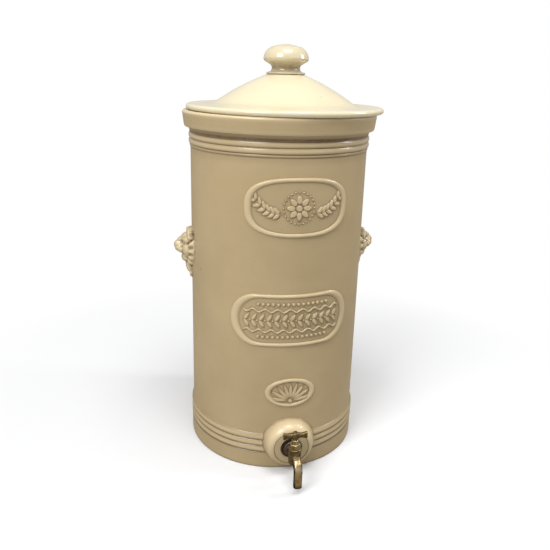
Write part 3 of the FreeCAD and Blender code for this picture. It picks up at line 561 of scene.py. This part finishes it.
def flower_and_sprays(s, z):
    """A round flower in a beaded ring, with a leafy branch to each side."""
    depth = bead_depth(s, z, 4.0, 0, 0)
    for k in range(8):
        angle = k * 45.0
        way = math.radians(angle)
        x, y = 4.6 * math.cos(way), 4.6 * math.sin(way)
        depth = np.maximum(depth, petal_depth(s, z, 10.5, 6.6, x, y, angle))
    for k in range(24):
        way = 2 * math.pi * k / 24
        depth = np.maximum(depth, bead_depth(s, z, 1.05, 18.6 * math.cos(way), 18.6 * math.sin(way)))
    for side in (1, -1):
        for k in range(6):
            x = 23.0 + 5.6 * k
            y = -7.0 + 0.62 * k * k
            stem = petal_depth(s, z, 7.4, 1.6, side * (x - 1), y - 0.4, 12.0 if side > 0 else 168.0)
            depth = np.maximum(depth, stem)
            for lift in (50.0, -36.0):
                angle = lift + 7.0 * k
                turn = angle if side > 0 else 180.0 - angle
                depth = np.maximum(depth, petal_depth(s, z, 10.0, 4.6, side * x, y, turn))
    return depth


def bead_and_leaf_rows(s, z):
    """Two rows of round beads, with a row of paired leaves between two running waves."""
    depth = -8.0 + 0 * s
    for row in (-21.5, 21.5):
        near = np.round(s / 6.2) * 6.2
        spot = np.where(np.abs(near) < 47.0, 2.1 - np.hypot(s - near, z - row), -8.0)
        depth = np.maximum(depth, spot)
    for row, turn in ((-13.4, 0.0), (13.4, np.pi)):
        phase = 2 * np.pi * s / 15.4 + turn
        wave = row + 1.9 * np.sin(phase)
        slope = np.hypot(1.0, 1.9 * 2 * np.pi / 15.4 * np.cos(phase))
        line = 1.15 - np.abs(z - wave) / slope
        depth = np.maximum(depth, np.where(np.abs(s) < 62.0, line, -8.0))
    for k in range(-6, 7):
        for angle in (54.0, -54.0):
            depth = np.maximum(depth, petal_depth(s, z, 10.5, 4.8, k * 9.6 - 3.5, 0, angle))
        depth = np.maximum(depth, bead_depth(s, z, 1.2, k * 9.6 + 3.8, 0))
    return depth


def ribbed_fan(s, z):
    """A fan of ribs rising from a bead near the lower edge."""
    depth = bead_depth(s, z, 2.8, 0, -11.5)
    for k in range(-4, 5):
        angle = 90.0 - 20.0 * k
        way = math.radians(angle)
        length = 20.0 + 0.35 * k * k
        x = 4.2 * math.cos(way)
        y = -11.5 + 4.2 * math.sin(way)
        depth = np.maximum(depth, petal_depth(s, z, length, 4.6, x, y, angle))
    return depth


def oval_edge(width, height, angle, ellipse, round_share):
    """Points of the outline: an ellipse, a fuller oval by its round share, or a racetrack."""
    if ellipse:
        return width / 2 * np.cos(angle), height / 2 * np.sin(angle)
    end = height / 2
    if round_share:
        power = 2.0 / round_share
        x = np.sign(np.cos(angle)) * np.abs(np.cos(angle)) ** power * width / 2
        return x, np.sign(np.sin(angle)) * np.abs(np.sin(angle)) ** power * end
    straight = (width - height) / 2
    quarter = straight + end * np.pi / 2
    run = (angle / (np.pi / 2)) * quarter
    total = 4 * quarter
    run = np.mod(run, total)
    part = np.floor(run / quarter).astype(int)
    along = run - part * quarter
    forward = np.where(part % 2 == 0, along, quarter - along)
    bend = np.clip(forward, 0, end * np.pi / 2) / end
    flat = np.clip(forward - end * np.pi / 2, 0, None)
    x = straight + end * np.cos(bend) - flat
    z = end * np.sin(bend)
    x = np.where((part == 1) | (part == 2), -x, x)
    z = np.where(part >= 2, -z, z)
    return x, z


def relief_on_wall(name, node, width, height, centre_z, turn, pattern, ellipse=False, round_share=0.0,
                   around=560):
    """A pad over its outline, wrapped on the wall: rings from the middle out to a rolled edge."""
    angle = round_way(around)
    edge_x, edge_z = oval_edge(width, height, angle, ellipse, round_share)
    small = min(width, height) / 2
    border_share = BORDER[0] / small
    inner = np.linspace(0.012, 1 - border_share * 1.3, 112, endpoint=False)
    border = np.linspace(1 - border_share * 1.3, 1.0, 26)
    share = np.concatenate([inner, border, [1.004]])
    s = share[:, None] * edge_x
    z = share[:, None] * edge_z
    in_by = (1 - share)[:, None] * small
    across = np.clip(in_by / BORDER[0], 0.0, 1.0)
    roll = np.sqrt(np.clip(1 - (2 * across - 1) ** 2, 0.0, 1.0)) * (across < 1.0)
    pad = PAD * np.clip(in_by / 0.5, 0.0, 1.0)
    lift = np.where(across < 1.0, np.maximum(pad, BORDER[1] * roll), PAD)
    depth = pattern(s, z)
    rise = np.clip(depth / 1.3, 0.0, 1.0)
    figure = RELIEF * np.sqrt(np.clip(1 - (1 - rise) ** 2, 0.0, 1.0)) * (across >= 1.0)
    lift = lift + figure - 0.15
    lift[-1] = -0.6
    # Painted shade, partly glaze that gathers: darker in the field round the figures and along the border's
    # inner and outer edges.
    field = (across >= 1.0) * np.clip(1 - rise, 0.0, 1.0)
    pool_and_shade = field * (0.05 + 0.3 * np.exp(-((depth + 0.4) / 0.8) ** 2))
    pool_and_shade = pool_and_shade + 0.35 * np.exp(-((in_by - BORDER[0] - 0.3) / 0.6) ** 2) + 0.4 * np.exp(-(in_by / 0.35) ** 2)
    radius = wall_at(centre_z + z) + lift
    way = s / BODY_FOOT + math.radians(turn)
    grid = np.stack([radius * np.sin(way), -radius * np.cos(way), centre_z + z], axis=-1)
    # Painted highlight, partly glaze that runs thin: paler on the border's roll and the tops of the figures.
    bright = 0.5 * roll + 0.32 * rise * (across >= 1.0)
    marks = {"gathered_and_shaded": np.clip(pool_and_shade, 0, 1), "thinned_and_highlit": np.clip(bright, 0, 1)}
    lay_surface(name, grid, "jar", jar_glaze, (node,), marks, (True, False))


relief_on_wall("flower_relief", "upper_medallion", 132.7, 70.4, 351.9, 1.2, flower_and_sprays,
               round_share=2.7)
relief_on_wall("leaf_relief", "middle_medallion", 161.6, 69.0, 211.4, 0.0, bead_and_leaf_rows, around=640)
relief_on_wall("fan_relief", "lower_medallion", 67.2, 40.5, 111.7, 0.0, ribbed_fan, ellipse=True, around=400)

# Side masks: animal heads pressed in a mould and stuck on at each side: a mane of locks,
# ears, heavy brow, muzzle with nose and mouth, and a beard that ends in a small scroll.
MASK_Z = 277.0
MASK_WIDTH = 46.0
MASK_HEIGHT = 52.0
MASK_AROUND = 260


def lump(t, z, out, side, up, half_out, half_side, half_up):
    """Height of one rounded lump over the wall, nought beyond its edge."""
    away = ((t - side) / half_side) ** 2 + ((z - up) / half_up) ** 2
    top = out + half_out * np.sqrt(np.clip(1 - away, 0.0, 1.0))
    skirt = np.exp(-np.clip(away - 1, 0, None) * 3.0)
    return np.clip(top * skirt, 0.0, None)


def melted(heights, sharpness=5.0):
    """Lumps joined so that each meets the next in a soft valley."""
    total = sum(np.clip(h, 0.0, None) ** sharpness for h in heights)
    return total ** (1.0 / sharpness)


def mask_height(t, z):
    """The whole head as a height over the wall, with t along the wall and z up from its middle."""
    reach = np.hypot(t / (MASK_WIDTH / 2), z / (MASK_HEIGHT / 2))
    way = np.arctan2(z, t)
    mane = 7.0 * np.sqrt(np.clip(1 - reach ** 4, 0.0, 1.0))
    outer = np.clip((reach - 0.45) / 0.3, 0, 1) * np.clip((1.02 - reach) / 0.1, 0, 1)
    locks = 1.6 * np.cos(way * 13 + 2.5 * reach) * outer
    mane = np.clip(mane + locks, 0.0, None)
    lumps = [mane]
    lumps.append(lump(t, z, 6.0, 0, 11.5, 9.0, 14.0, 8.0))
    lumps.append(lump(t, z, 12.0, 0, 2.0, 10.5, 7.4, 7.6))
    lumps.append(lump(t, z, 10.0, 0, 7.0, 10.0, 4.6, 8.0))
    lumps.append(lump(t, z, 6.5, 0, -12.5, 7.6, 8.0, 7.5))
    lumps.append(lump(t, z, 2.0, 0, -24.0, 6.0, 7.0, 12.0))
    for side in (1, -1):
        lumps.append(lump(t, z, 6.0, side * 9.5, -1.5, 8.0, 7.6, 9.5))
        lumps.append(lump(t, z, 3.0, side * 14.5, 19.0, 6.0, 4.8, 6.6))
        lumps.append(lump(t, z, 11.0, side * 5.2, -1.5, 8.5, 5.2, 5.0))
    height = melted(lumps)
    ring = np.hypot(t, z + 35.5)
    scroll = 3.6 * np.sqrt(np.clip(1 - ((ring - 4.2) / 2.6) ** 2, 0.0, 1.0))
    height = np.maximum(height, scroll)
    for side in (1, -1):
        socket = np.exp(-(((t - side * 6.6) / 3.2) ** 2 + ((z - 8.2) / 2.2) ** 2))
        ball = np.exp(-(((t - side * 6.6) / 1.7) ** 2 + ((z - 8.0) / 1.3) ** 2))
        nostril = np.exp(-(((t - side * 2.6) / 1.1) ** 2 + ((z - 0.2) / 1.0) ** 2))
        ear_hole = np.exp(-(((t - side * 14.5) / 2.0) ** 2 + ((z - 19.0) / 3.2) ** 2))
        cheek_line = np.exp(-((t - side * (11.0 + 0.2 * z)) / 0.9) ** 2) * np.exp(-((z + 4.0) / 9.0) ** 2)
        height = height - 4.2 * socket + 3.4 * ball - 2.2 * nostril - 2.6 * ear_hole - 1.1 * cheek_line
    mouth_z = -6.6 - 0.045 * t ** 2
    mouth = np.exp(-((z - mouth_z) / 1.15) ** 2) * np.exp(-(t / 7.5) ** 6)
    beard = np.cos(t * 1.5) * np.exp(-((z + 24.0) / 9.0) ** 2) * np.exp(-(t / 7.0) ** 4)
    brow_line = np.exp(-((t) / 0.9) ** 2) * np.exp(-((z - 13.0) / 5.0) ** 2)
    return height - 5.0 * mouth + 0.8 * beard - 1.2 * brow_line


def mask_edge(angle):
    """Outline of the head seen from the front: a rounded mane that narrows to the beard."""
    narrow = np.exp(-((angle - 1.5 * np.pi) / 0.42) ** 2)
    width = MASK_WIDTH / 2 * 1.02
    top = MASK_HEIGHT / 2 * 1.04
    x = width * np.cos(angle)
    z = top * np.sin(angle)
    ears = 1 + 0.10 * np.exp(-((np.abs(np.mod(angle, 2 * np.pi) - np.pi / 2) - 0.62) / 0.22) ** 2)
    return x * ears * (1 - 0.10 * narrow), z * ears - 17.0 * narrow


def make_mask(side, node):
    """Rings from the middle of the face out to its edge on the wall, on the side given."""
    angle = round_way(MASK_AROUND)
    edge_t, edge_z = mask_edge(angle)
    share = np.concatenate([np.linspace(0.01, 0.97, 118), [0.985, 1.0, 1.0]])
    t = share[:, None] * edge_t
    z = share[:, None] * edge_z
    fade = np.clip((1 - share) / 0.035, 0.0, 1.0)[:, None]
    height = np.clip(mask_height(t, z), 0.8, None) * fade
    height[-1] = -1.5
    soft = sum(np.roll(height, k, axis=1) for k in range(-6, 7)) / 13
    soft = (soft + np.vstack([soft[4:], soft[-4:]]) + np.vstack([soft[:4], soft[:-4]])) / 3
    # Painted shade in the hollows and painted highlight on the high points, partly glaze that gathers and
    # runs thin.
    marks = {"gathered_and_shaded": np.clip((soft - height) * 0.45, 0.0, 1.0),
             "thinned_and_highlit": np.clip((height - soft) * 0.5, 0.0, 0.8)}
    radius = wall_at(MASK_Z + z) + height
    way = t / BODY_NECK
    grid = np.stack([side * radius * np.cos(way), radius * np.sin(way), MASK_Z + z], axis=-1)
    lay_surface(node + "_relief", grid, "jar", mask_glaze, (node,), marks, (True, False),
                flip=side < 0)


mask_glaze = glaze("mask_glaze", srgb(184, 165, 128), srgb(76, 56, 33), srgb(195, 177, 140),
                   srgb(232, 215, 180))
make_mask(-1, "left_mask")
make_mask(1, "right_mask")

# Lid: a thrown dome with a slightly dished brim and a skirt that drops inside the rim, dipped in
# a paler glaze than the jar. It lies a few millimetres off centre, with a thrown knob stuck on.
LID_MIDDLE = (6.2, -1.3)
LID_Z = 453.7
LID_TURNS = 240
LID_EDGE = 124.5
LID_CROWN = LID_Z + 43.6

lid_glaze = glaze("lid_glaze", srgb(216, 204, 170), srgb(126, 104, 69), srgb(224, 213, 182),
                  srgb(230, 221, 196), 0.25, gloss=0.6)


def arc_through(start, middle, end, count):
    """Points along the circle that passes through three points, both ends included."""
    a, b, c = (np.array(p, dtype=float) for p in (start, middle, end))
    m = np.array([b - a, c - a])
    centre = a + np.linalg.solve(m, np.array([(b - a) @ (b - a), (c - a) @ (c - a)]) / 2)
    spread = np.arctan2(*(np.array([a, b, c]) - centre).T[::-1])
    spread = np.unwrap(spread)
    angle = np.linspace(spread[0], spread[2], count)
    radius = np.hypot(*(a - centre))
    return np.stack([centre[0] + radius * np.cos(angle), centre[1] + radius * np.sin(angle)], axis=-1)


def lid_profile():
    """The lid's section from the skirt's foot out round the brim, up the dome and back inside."""
    brim = arc_through((LID_EDGE - 3.6, LID_Z), (LID_EDGE, LID_Z + 3.4), (LID_EDGE - 3.2, LID_Z + 6.9), 14)
    flat = np.array([[117.0, LID_Z + 6.9], [110.0, LID_Z + 6.6], [104.0, LID_Z + 6.7]])
    corner = arc_through((100.0, LID_Z + 7.0), (90.2, LID_Z + 9.0), (81.5, LID_Z + 13.6), 18)
    dome = arc_through((81.0, LID_Z + 13.9), (59.3, LID_Z + 26.9), (22.5, LID_CROWN), 26)
    crown = np.array([[10.0, LID_CROWN], [0.5, LID_CROWN], [0.5, LID_Z + 35.6]])
    under = arc_through((2.0, LID_Z + 35.5), (53.3, LID_Z + 22.0), (87.6, LID_Z), 20)
    skirt = np.array([[89.2, LID_Z - 2], [89.6, LID_Z - 9.3], [91.0, LID_Z - 10.4], [95.2, LID_Z - 10.4],
                      [96.5, LID_Z - 9.2], [96.6, LID_Z - 0.4], [97.2, LID_Z]])
    return np.concatenate([brim, flat, corner, dome, crown, under, skirt, brim[:1]])


section = lid_profile()
lid_pool = 0.10 * np.exp(-((section[:, 0] - 92.0) / 8.0) ** 2) * (section[:, 1] > LID_Z + 6)
lay_surface("lid_dome", turned_grid(section[:, 0], section[:, 1], LID_TURNS, 0.0004, LID_MIDDLE), "lid",
            lid_glaze, ("lid",), {"gathered_and_shaded": lid_pool[:, None]})


def knob_profile():
    """The knob's section: a rolled foot, a waist and a flattened mushroom head."""
    z = LID_CROWN
    foot = arc_through((23.3, z), (24.5, z + 1.0), (23.0, z + 2.2), 9)
    waist = arc_through((22.4, z + 2.5), (19.0, z + 3.9), (17.7, z + 6.6), 10)
    neck = np.array([[17.7, z + 8.0], [18.0, z + 9.3], [18.9, z + 10.5], [20.3, z + 11.6]])
    shoulder = arc_through((25.3, z + 14.5), (27.4, z + 16.0), (28.3, z + 18.5), 9)
    cheek = arc_through((28.3, z + 18.8), (24.4, z + 27.6), (13.0, z + 33.2), 20)
    crown = arc_through((12.6, z + 33.3), (6.5, z + 34.7), (0.4, z + 35.2), 7)
    return np.concatenate([[[0.5, z]], foot, waist, neck, shoulder, cheek, crown])


section = knob_profile()
above_dome = section[:, 1] - LID_CROWN
# A little darker all over, with painted shade on the neck under the knob's head and where its foot meets the
# dome.
knob_tone_and_shade = 0.2 + 0.55 * np.exp(-((above_dome - 7.0) / 4.0) ** 2) + 0.4 * np.exp(-(above_dome / 0.9) ** 2)
grid = turned_grid(section[:, 0], section[:, 1], 120, 0.002, LID_MIDDLE)
lay_surface("lid_knob_turned", grid, "lid", lid_glaze, ("lid_knob",),
            {"gathered_and_shaded": np.clip(knob_tone_and_shade, 0, 1)[:, None]}, (True, True))

# Tap: cast brass that was plated with nickel, now worn: dull and brown in patches, darker on the
# spout's sides and tip and low on the handle's wings, and bright on the spout's flat front, where hands and
# cloths rub it. Body, spout, bonnet, gland nut and cross handle.
VALVE = -150.0
SPOUT_Z = 41.0
HANDLE_Z = 70.8


def worn_plate(name, plate, brass, dark_tone, shine=0.26):
    """Worn plating: bright metal, brass showing in patches, brown tarnish and fine pits."""
    finish = Finish(name)
    patches = finish.noise(140.0, 5.0, 0.6)
    colour = finish.blend(finish.ramp(patches, 0.48, 0.66), plate, brass)
    grime = finish.noise(260.0, 5.0, 0.65)
    dull = (finish.ramp(grime, 0.52, 0.72) * 0.7 + finish.attribute("gathered_and_shaded")).held()
    colour = finish.blend(dull, colour, dark_tone)
    finish.set(Base_Color=colour, Metallic=1.0, Roughness=shine + dull * 0.35 + grime * 0.1)
    finish.bump(finish.noise(900.0, 3.0, 0.6) + grime * 0.6, 0.00025, 0.5)
    return finish


nickel = worn_plate("worn_nickel", srgb(200, 184, 148), srgb(150, 122, 76), srgb(50, 36, 24))
# A darker copy of the worn nickel, for the barrel and the spout neck; on the neck it is painted shade under
# the bonnet.
dark_nickel = worn_plate("dark_nickel", srgb(122, 110, 94), srgb(104, 86, 62), srgb(42, 33, 26), 0.32)
old_brass = worn_plate("old_brass", srgb(160, 142, 104), srgb(124, 104, 66), srgb(44, 35, 23), 0.24)
olive_plate = worn_plate("olive_plate", srgb(196, 184, 148), srgb(150, 132, 92), srgb(60, 50, 34), 0.20)
brass = worn_plate("turned_brass", srgb(205, 172, 104), srgb(188, 148, 78), srgb(92, 66, 34))


def lying(points, z):
    """A turned shape stood on Z laid over to point along the tap, with its axis at a height."""
    return np.stack([points[..., 0], -points[..., 2], z + points[..., 1]], axis=-1)


def section_of(pairs):
    return np.array(pairs, dtype=float).T


flange_r, flange_d = section_of([(7.9, 132.0), (10.2, 132.6), (10.9, 133.0), (11.0, 134.4), (10.6, 135.2),
                                 (9.6, 135.6), (7.6, 135.7), (7.0, 136.2), (6.8, 137.2), (6.8, 146.0),
                                 (6.5, 149.5), (0.5, 150.0)])
grid = lying(turned_grid(flange_r, flange_d, 72), BOSS_Z)
lay_surface("tap_barrel", grid, "jar", dark_nickel, ("tap_body",), {"gathered_and_shaded": 0.12},
            (False, True), flip=True)
chamber_r, chamber_z = section_of([(0.5, 29.5), (3.5, 29.6), (5.6, 30.1), (7.2, 31.3), (7.9, 33.0),
                                   (8.0, 36.0), (8.0, 47.0), (7.5, 48.4), (7.5, 50.2), (8.0, 51.4),
                                   (8.0, 52.4), (7.5, 53.0), (5.0, 53.0), (0.5, 53.0)])
grid = turned_grid(chamber_r, chamber_z, 72, 0.004, (0, VALVE))
lay_surface("tap_chamber", grid, "jar", old_brass, (), {"gathered_and_shaded": 0.3}, (True, True))
neck_r, neck_d = section_of([(0.5, 155.9), (4.9, 155.9), (5.0, 156.4), (5.7, 157.0), (6.0, 157.8),
                             (5.8, 158.6), (5.4, 159.0), (0.5, 159.0)])
grid = lying(turned_grid(neck_r, neck_d, 60), SPOUT_Z)
lay_surface("spout_neck", grid, "jar", dark_nickel, (), {"gathered_and_shaded": 0.3}, (True, True),
            flip=True)


def spout_grid():
    """A tube carried along a bend and a straight drop, over its lip and a little way back inside."""
    bend = 12.0
    start = 158.6
    top = SPOUT_Z
    turn = np.linspace(0.0, np.pi / 2, 22)
    y = np.concatenate([[start - 1.0, start], start + bend * np.sin(turn)[1:], [start + bend] * 16])
    drop = np.linspace(0.0, top - bend - 10.0, 17)[1:]
    z = np.concatenate([[top, top], top - bend * (1 - np.cos(turn))[1:], top - bend - drop])
    lean = np.concatenate([[0, 0], turn[1:], [np.pi / 2] * 16])
    thick = np.linspace(5.75, 5.45, len(y))
    lip = np.linspace(0, np.pi, 7)[1:]
    tip = -np.sin(lip) * 0.35
    back = np.array([2.0, 8.0, 16.0])
    y = np.concatenate([y, [start + bend] * 9])
    z = np.concatenate([z, 10.0 + tip, 10.0 + back])
    lean = np.concatenate([lean, [np.pi / 2] * 9])
    wall = 4.5 + 0.95 * np.cos(lip)
    thick = np.concatenate([thick, wall, [3.6] * 3])
    angle = round_way(72)
    across = thick[:, None] * np.cos(angle)
    front = thick[:, None] * np.sin(angle)
    worn_flat = np.minimum(front, 4.5)
    x = across
    out = y[:, None] + worn_flat * np.sin(lean)[:, None]
    up = z[:, None] + worn_flat * np.cos(lean)[:, None]
    # Darker on the sides, away from the flat front face, and darker towards the tip.
    facing = np.clip((np.sin(angle) - 0.45) / 0.3, 0, 1)[None, :]
    dark_tone = 0.85 - 0.85 * facing + 0 * across
    tip_darkening = np.clip((17.0 - up) / 7.0, 0, 0.8)
    return np.stack([x, -out, up], axis=-1), np.clip(dark_tone + tip_darkening, 0, 1)


spout_points, spout_darkening = spout_grid()
lay_surface("spout_tube", spout_points, "jar", nickel, ("tap_spout",),
            {"gathered_and_shaded": spout_darkening}, flip=True)


def hex_grid(width, levels, turns=96, middle=(0.0, VALVE)):
    """A hexagonal nut: level pairs give a height and how far the corners are turned down."""
    angle = round_way(turns)
    sixth = np.mod(angle + np.pi / 6, np.pi / 3) - np.pi / 6
    flat = width / 2 / np.cos(sixth)
    rows = []
    for z, cap in levels:
        radius = np.minimum(flat, cap) - 0.12 * (flat > width / 2 * 1.135)
        rows.append(np.stack([radius * np.cos(angle) + middle[0], radius * np.sin(angle) + middle[1],
                              np.full(turns, z)], axis=-1))
    return np.array(rows)


bonnet_levels = [(53.0, 5.0), (53.0, 6.3), (53.2, 6.8), (53.8, 7.4), (59.0, 7.4), (59.5, 6.9), (59.9, 6.2),
                 (60.0, 5.6), (60.0, 3.4)]
lay_surface("bonnet_hexagon", hex_grid(12.8, bonnet_levels), "jar", olive_plate, ("bonnet",),
            {"gathered_and_shaded": 0.12})
nut_levels = [(60.0, 2.4), (60.0, 3.9), (60.3, 4.3), (60.7, 4.7), (64.6, 4.7), (65.1, 4.3), (65.4, 3.7),
              (65.4, 2.0)]
lay_surface("gland_hexagon", hex_grid(8.0, nut_levels), "jar", olive_plate, ("gland_nut",),
            {"gathered_and_shaded": 0.08})


def wing_grid():
    """The handle's bar along X: an arched middle, drawn in to each side, then flared at the ends."""
    x = np.concatenate([[-15.5, -15.45, -15.2], np.linspace(-14.8, 14.8, 75), [15.2, 15.45, 15.5]])
    away = np.abs(x)
    middle = np.exp(-(away / 5.2) ** 2)
    flare = np.clip((away - 7.0) / 7.6, 0, 1) ** 1.3
    tall = 2.7 + 1.5 * middle + 2.0 * flare
    deep = 2.0 + 1.3 * middle + 0.35 * flare
    end = np.clip((away - 14.6) / 0.9, 0, 1)
    pull = 1 - 0.5 * (1 - np.sqrt(np.clip(1 - end ** 2, 0, 1)))
    angle = round_way(60)
    c, s = np.cos(angle), np.sin(angle)
    box_c = np.sign(c) * np.abs(c) ** 0.5
    box_s = np.sign(s) * np.abs(s) ** 0.5
    y = VALVE + (deep * pull)[:, None] * box_c
    z = HANDLE_Z + (tall * pull)[:, None] * box_s
    return np.stack([np.broadcast_to(x[:, None], y.shape), y, z], axis=-1)


grid = wing_grid()
# Darker towards the bottom of the wings.
wing_darkening = np.clip(0.30 - (grid[..., 2] - HANDLE_Z) * 0.07, 0, 1)
lay_surface("handle_wings", grid, "spindle", old_brass, ("tap_handle",),
            {"gathered_and_shaded": wing_darkening}, (True, True))
hub_r, hub_z = section_of([(0.5, 66.3), (3.2, 66.3), (3.7, 66.6), (3.9, 67.2), (3.9, 73.6), (3.6, 74.4),
                           (2.9, 75.0), (2.2, 75.2), (0.5, 75.2)])
lay_surface("handle_hub", turned_grid(hub_r, hub_z, 60, 0.0, (0, VALVE)), "spindle",
            old_brass, (), {"gathered_and_shaded": 0.3}, (True, True))

# Soft and hidden parts: washers, packing, felts and charcoal, and the plain fired plates
# that hold them. They show only when the lid and the plates are lifted.


def plain(name, light, dark, scale, rough, depth, metallic=0.0):
    """A dry surface: two close colours in a grain, with a bump of the same grain."""
    finish = Finish(name)
    grain = finish.noise(scale, 5.0, 0.6)
    colour = finish.blend(finish.ramp(grain, 0.35, 0.65), dark, light)
    finish.set(Base_Color=colour, Roughness=rough, Metallic=metallic)
    finish.bump(grain, depth, 0.6)
    return finish


bisque = plain("plain_stoneware", srgb(206, 190, 158), srgb(186, 168, 134), 300.0, 0.75, 0.0004)
rubber = plain("dark_rubber", srgb(44, 36, 34), srgb(24, 19, 18), 400.0, 0.55, 0.0002)
leather = plain("oiled_leather", srgb(92, 62, 38), srgb(62, 40, 24), 500.0, 0.5, 0.0003)
felt = plain("wool_felt", srgb(216, 208, 186), srgb(190, 180, 158), 900.0, 0.95, 0.0006)
charcoal = plain("charcoal_grains", srgb(52, 50, 48), srgb(14, 13, 13), 500.0, 0.6, 0.0025)

PAN_FILL_RADIUS = 72.6


def rumpled(radius, angle, size, seed):
    """A gentle unevenness in millimetres, from a few waves that cross each other."""
    x = radius * np.cos(angle) / size
    y = radius * np.sin(angle) / size
    waves = np.sin(x * 1.3 + seed) + np.sin(y * 1.7 + 2 * seed) + np.sin((x + y) * 1.1 - seed)
    return (waves + np.sin(x * 2.9 - y * 2.3 + 3 * seed)) / 4.0


def soft_disc(name, node, finish, low, high, unevenness, size, seed):
    """A pad or a bed: a disc with an uneven top and bottom and a rounded edge."""
    edge = min(2.0, (high - low) / 2)
    turn = np.linspace(0, np.pi / 2, 6)
    flat = np.linspace(0.5, PAN_FILL_RADIUS - edge - 0.5, 60)
    top_r = np.concatenate([flat, PAN_FILL_RADIUS - edge + edge * np.sin(turn)])
    top_z = np.concatenate([0 * flat + high, high - edge + edge * np.cos(turn)])
    low_z = np.concatenate([0 * flat + low, low + edge - edge * np.cos(turn)])
    radius = np.concatenate([top_r, top_r[::-1]])
    height = np.concatenate([top_z, low_z[::-1]])
    points = turned_grid(radius, height, 160)
    dip = rumpled(radius[:, None], round_way(160)[None, :], size, seed) - 1.0
    inward = np.where(np.arange(len(radius)) < len(top_r), 1.0, -1.0)[:, None]
    points[..., 2] += unevenness * dip * inward * np.clip((PAN_FILL_RADIUS - radius[:, None]) / 2.0, 0, 1)
    lay_surface(name, points, "filter_pan", finish, (node,), None, (True, True), flip=True)


soft_disc("lower_felt_pad", "lower_felt", felt, 167.0, 171.0, 0.15, 9.0, 0.4)
soft_disc("charcoal_grains", "charcoal_bed", charcoal, 171.1, 210.1, 0.5, 2.4, 1.3)
soft_disc("upper_felt_pad", "upper_felt", felt, 210.2, 214.2, 0.25, 9.0, 2.2)

DRESSED = {
    "air_pipe": bisque, "filter_pan": bisque, "cover_plate": bisque, "cover_knob": bisque, "pan_seal": rubber,
    "front_washer": rubber, "back_washer": rubber,
    "gland_packing": felt, "jumper_washer": leather, "jumper_valve": brass, "spindle": brass,
    "back_nut": brass, "handle_screw": old_brass,
}
for node, finish in DRESSED.items():
    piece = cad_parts[node]
    for place in piece.material_slots:
        place.material = finish.material
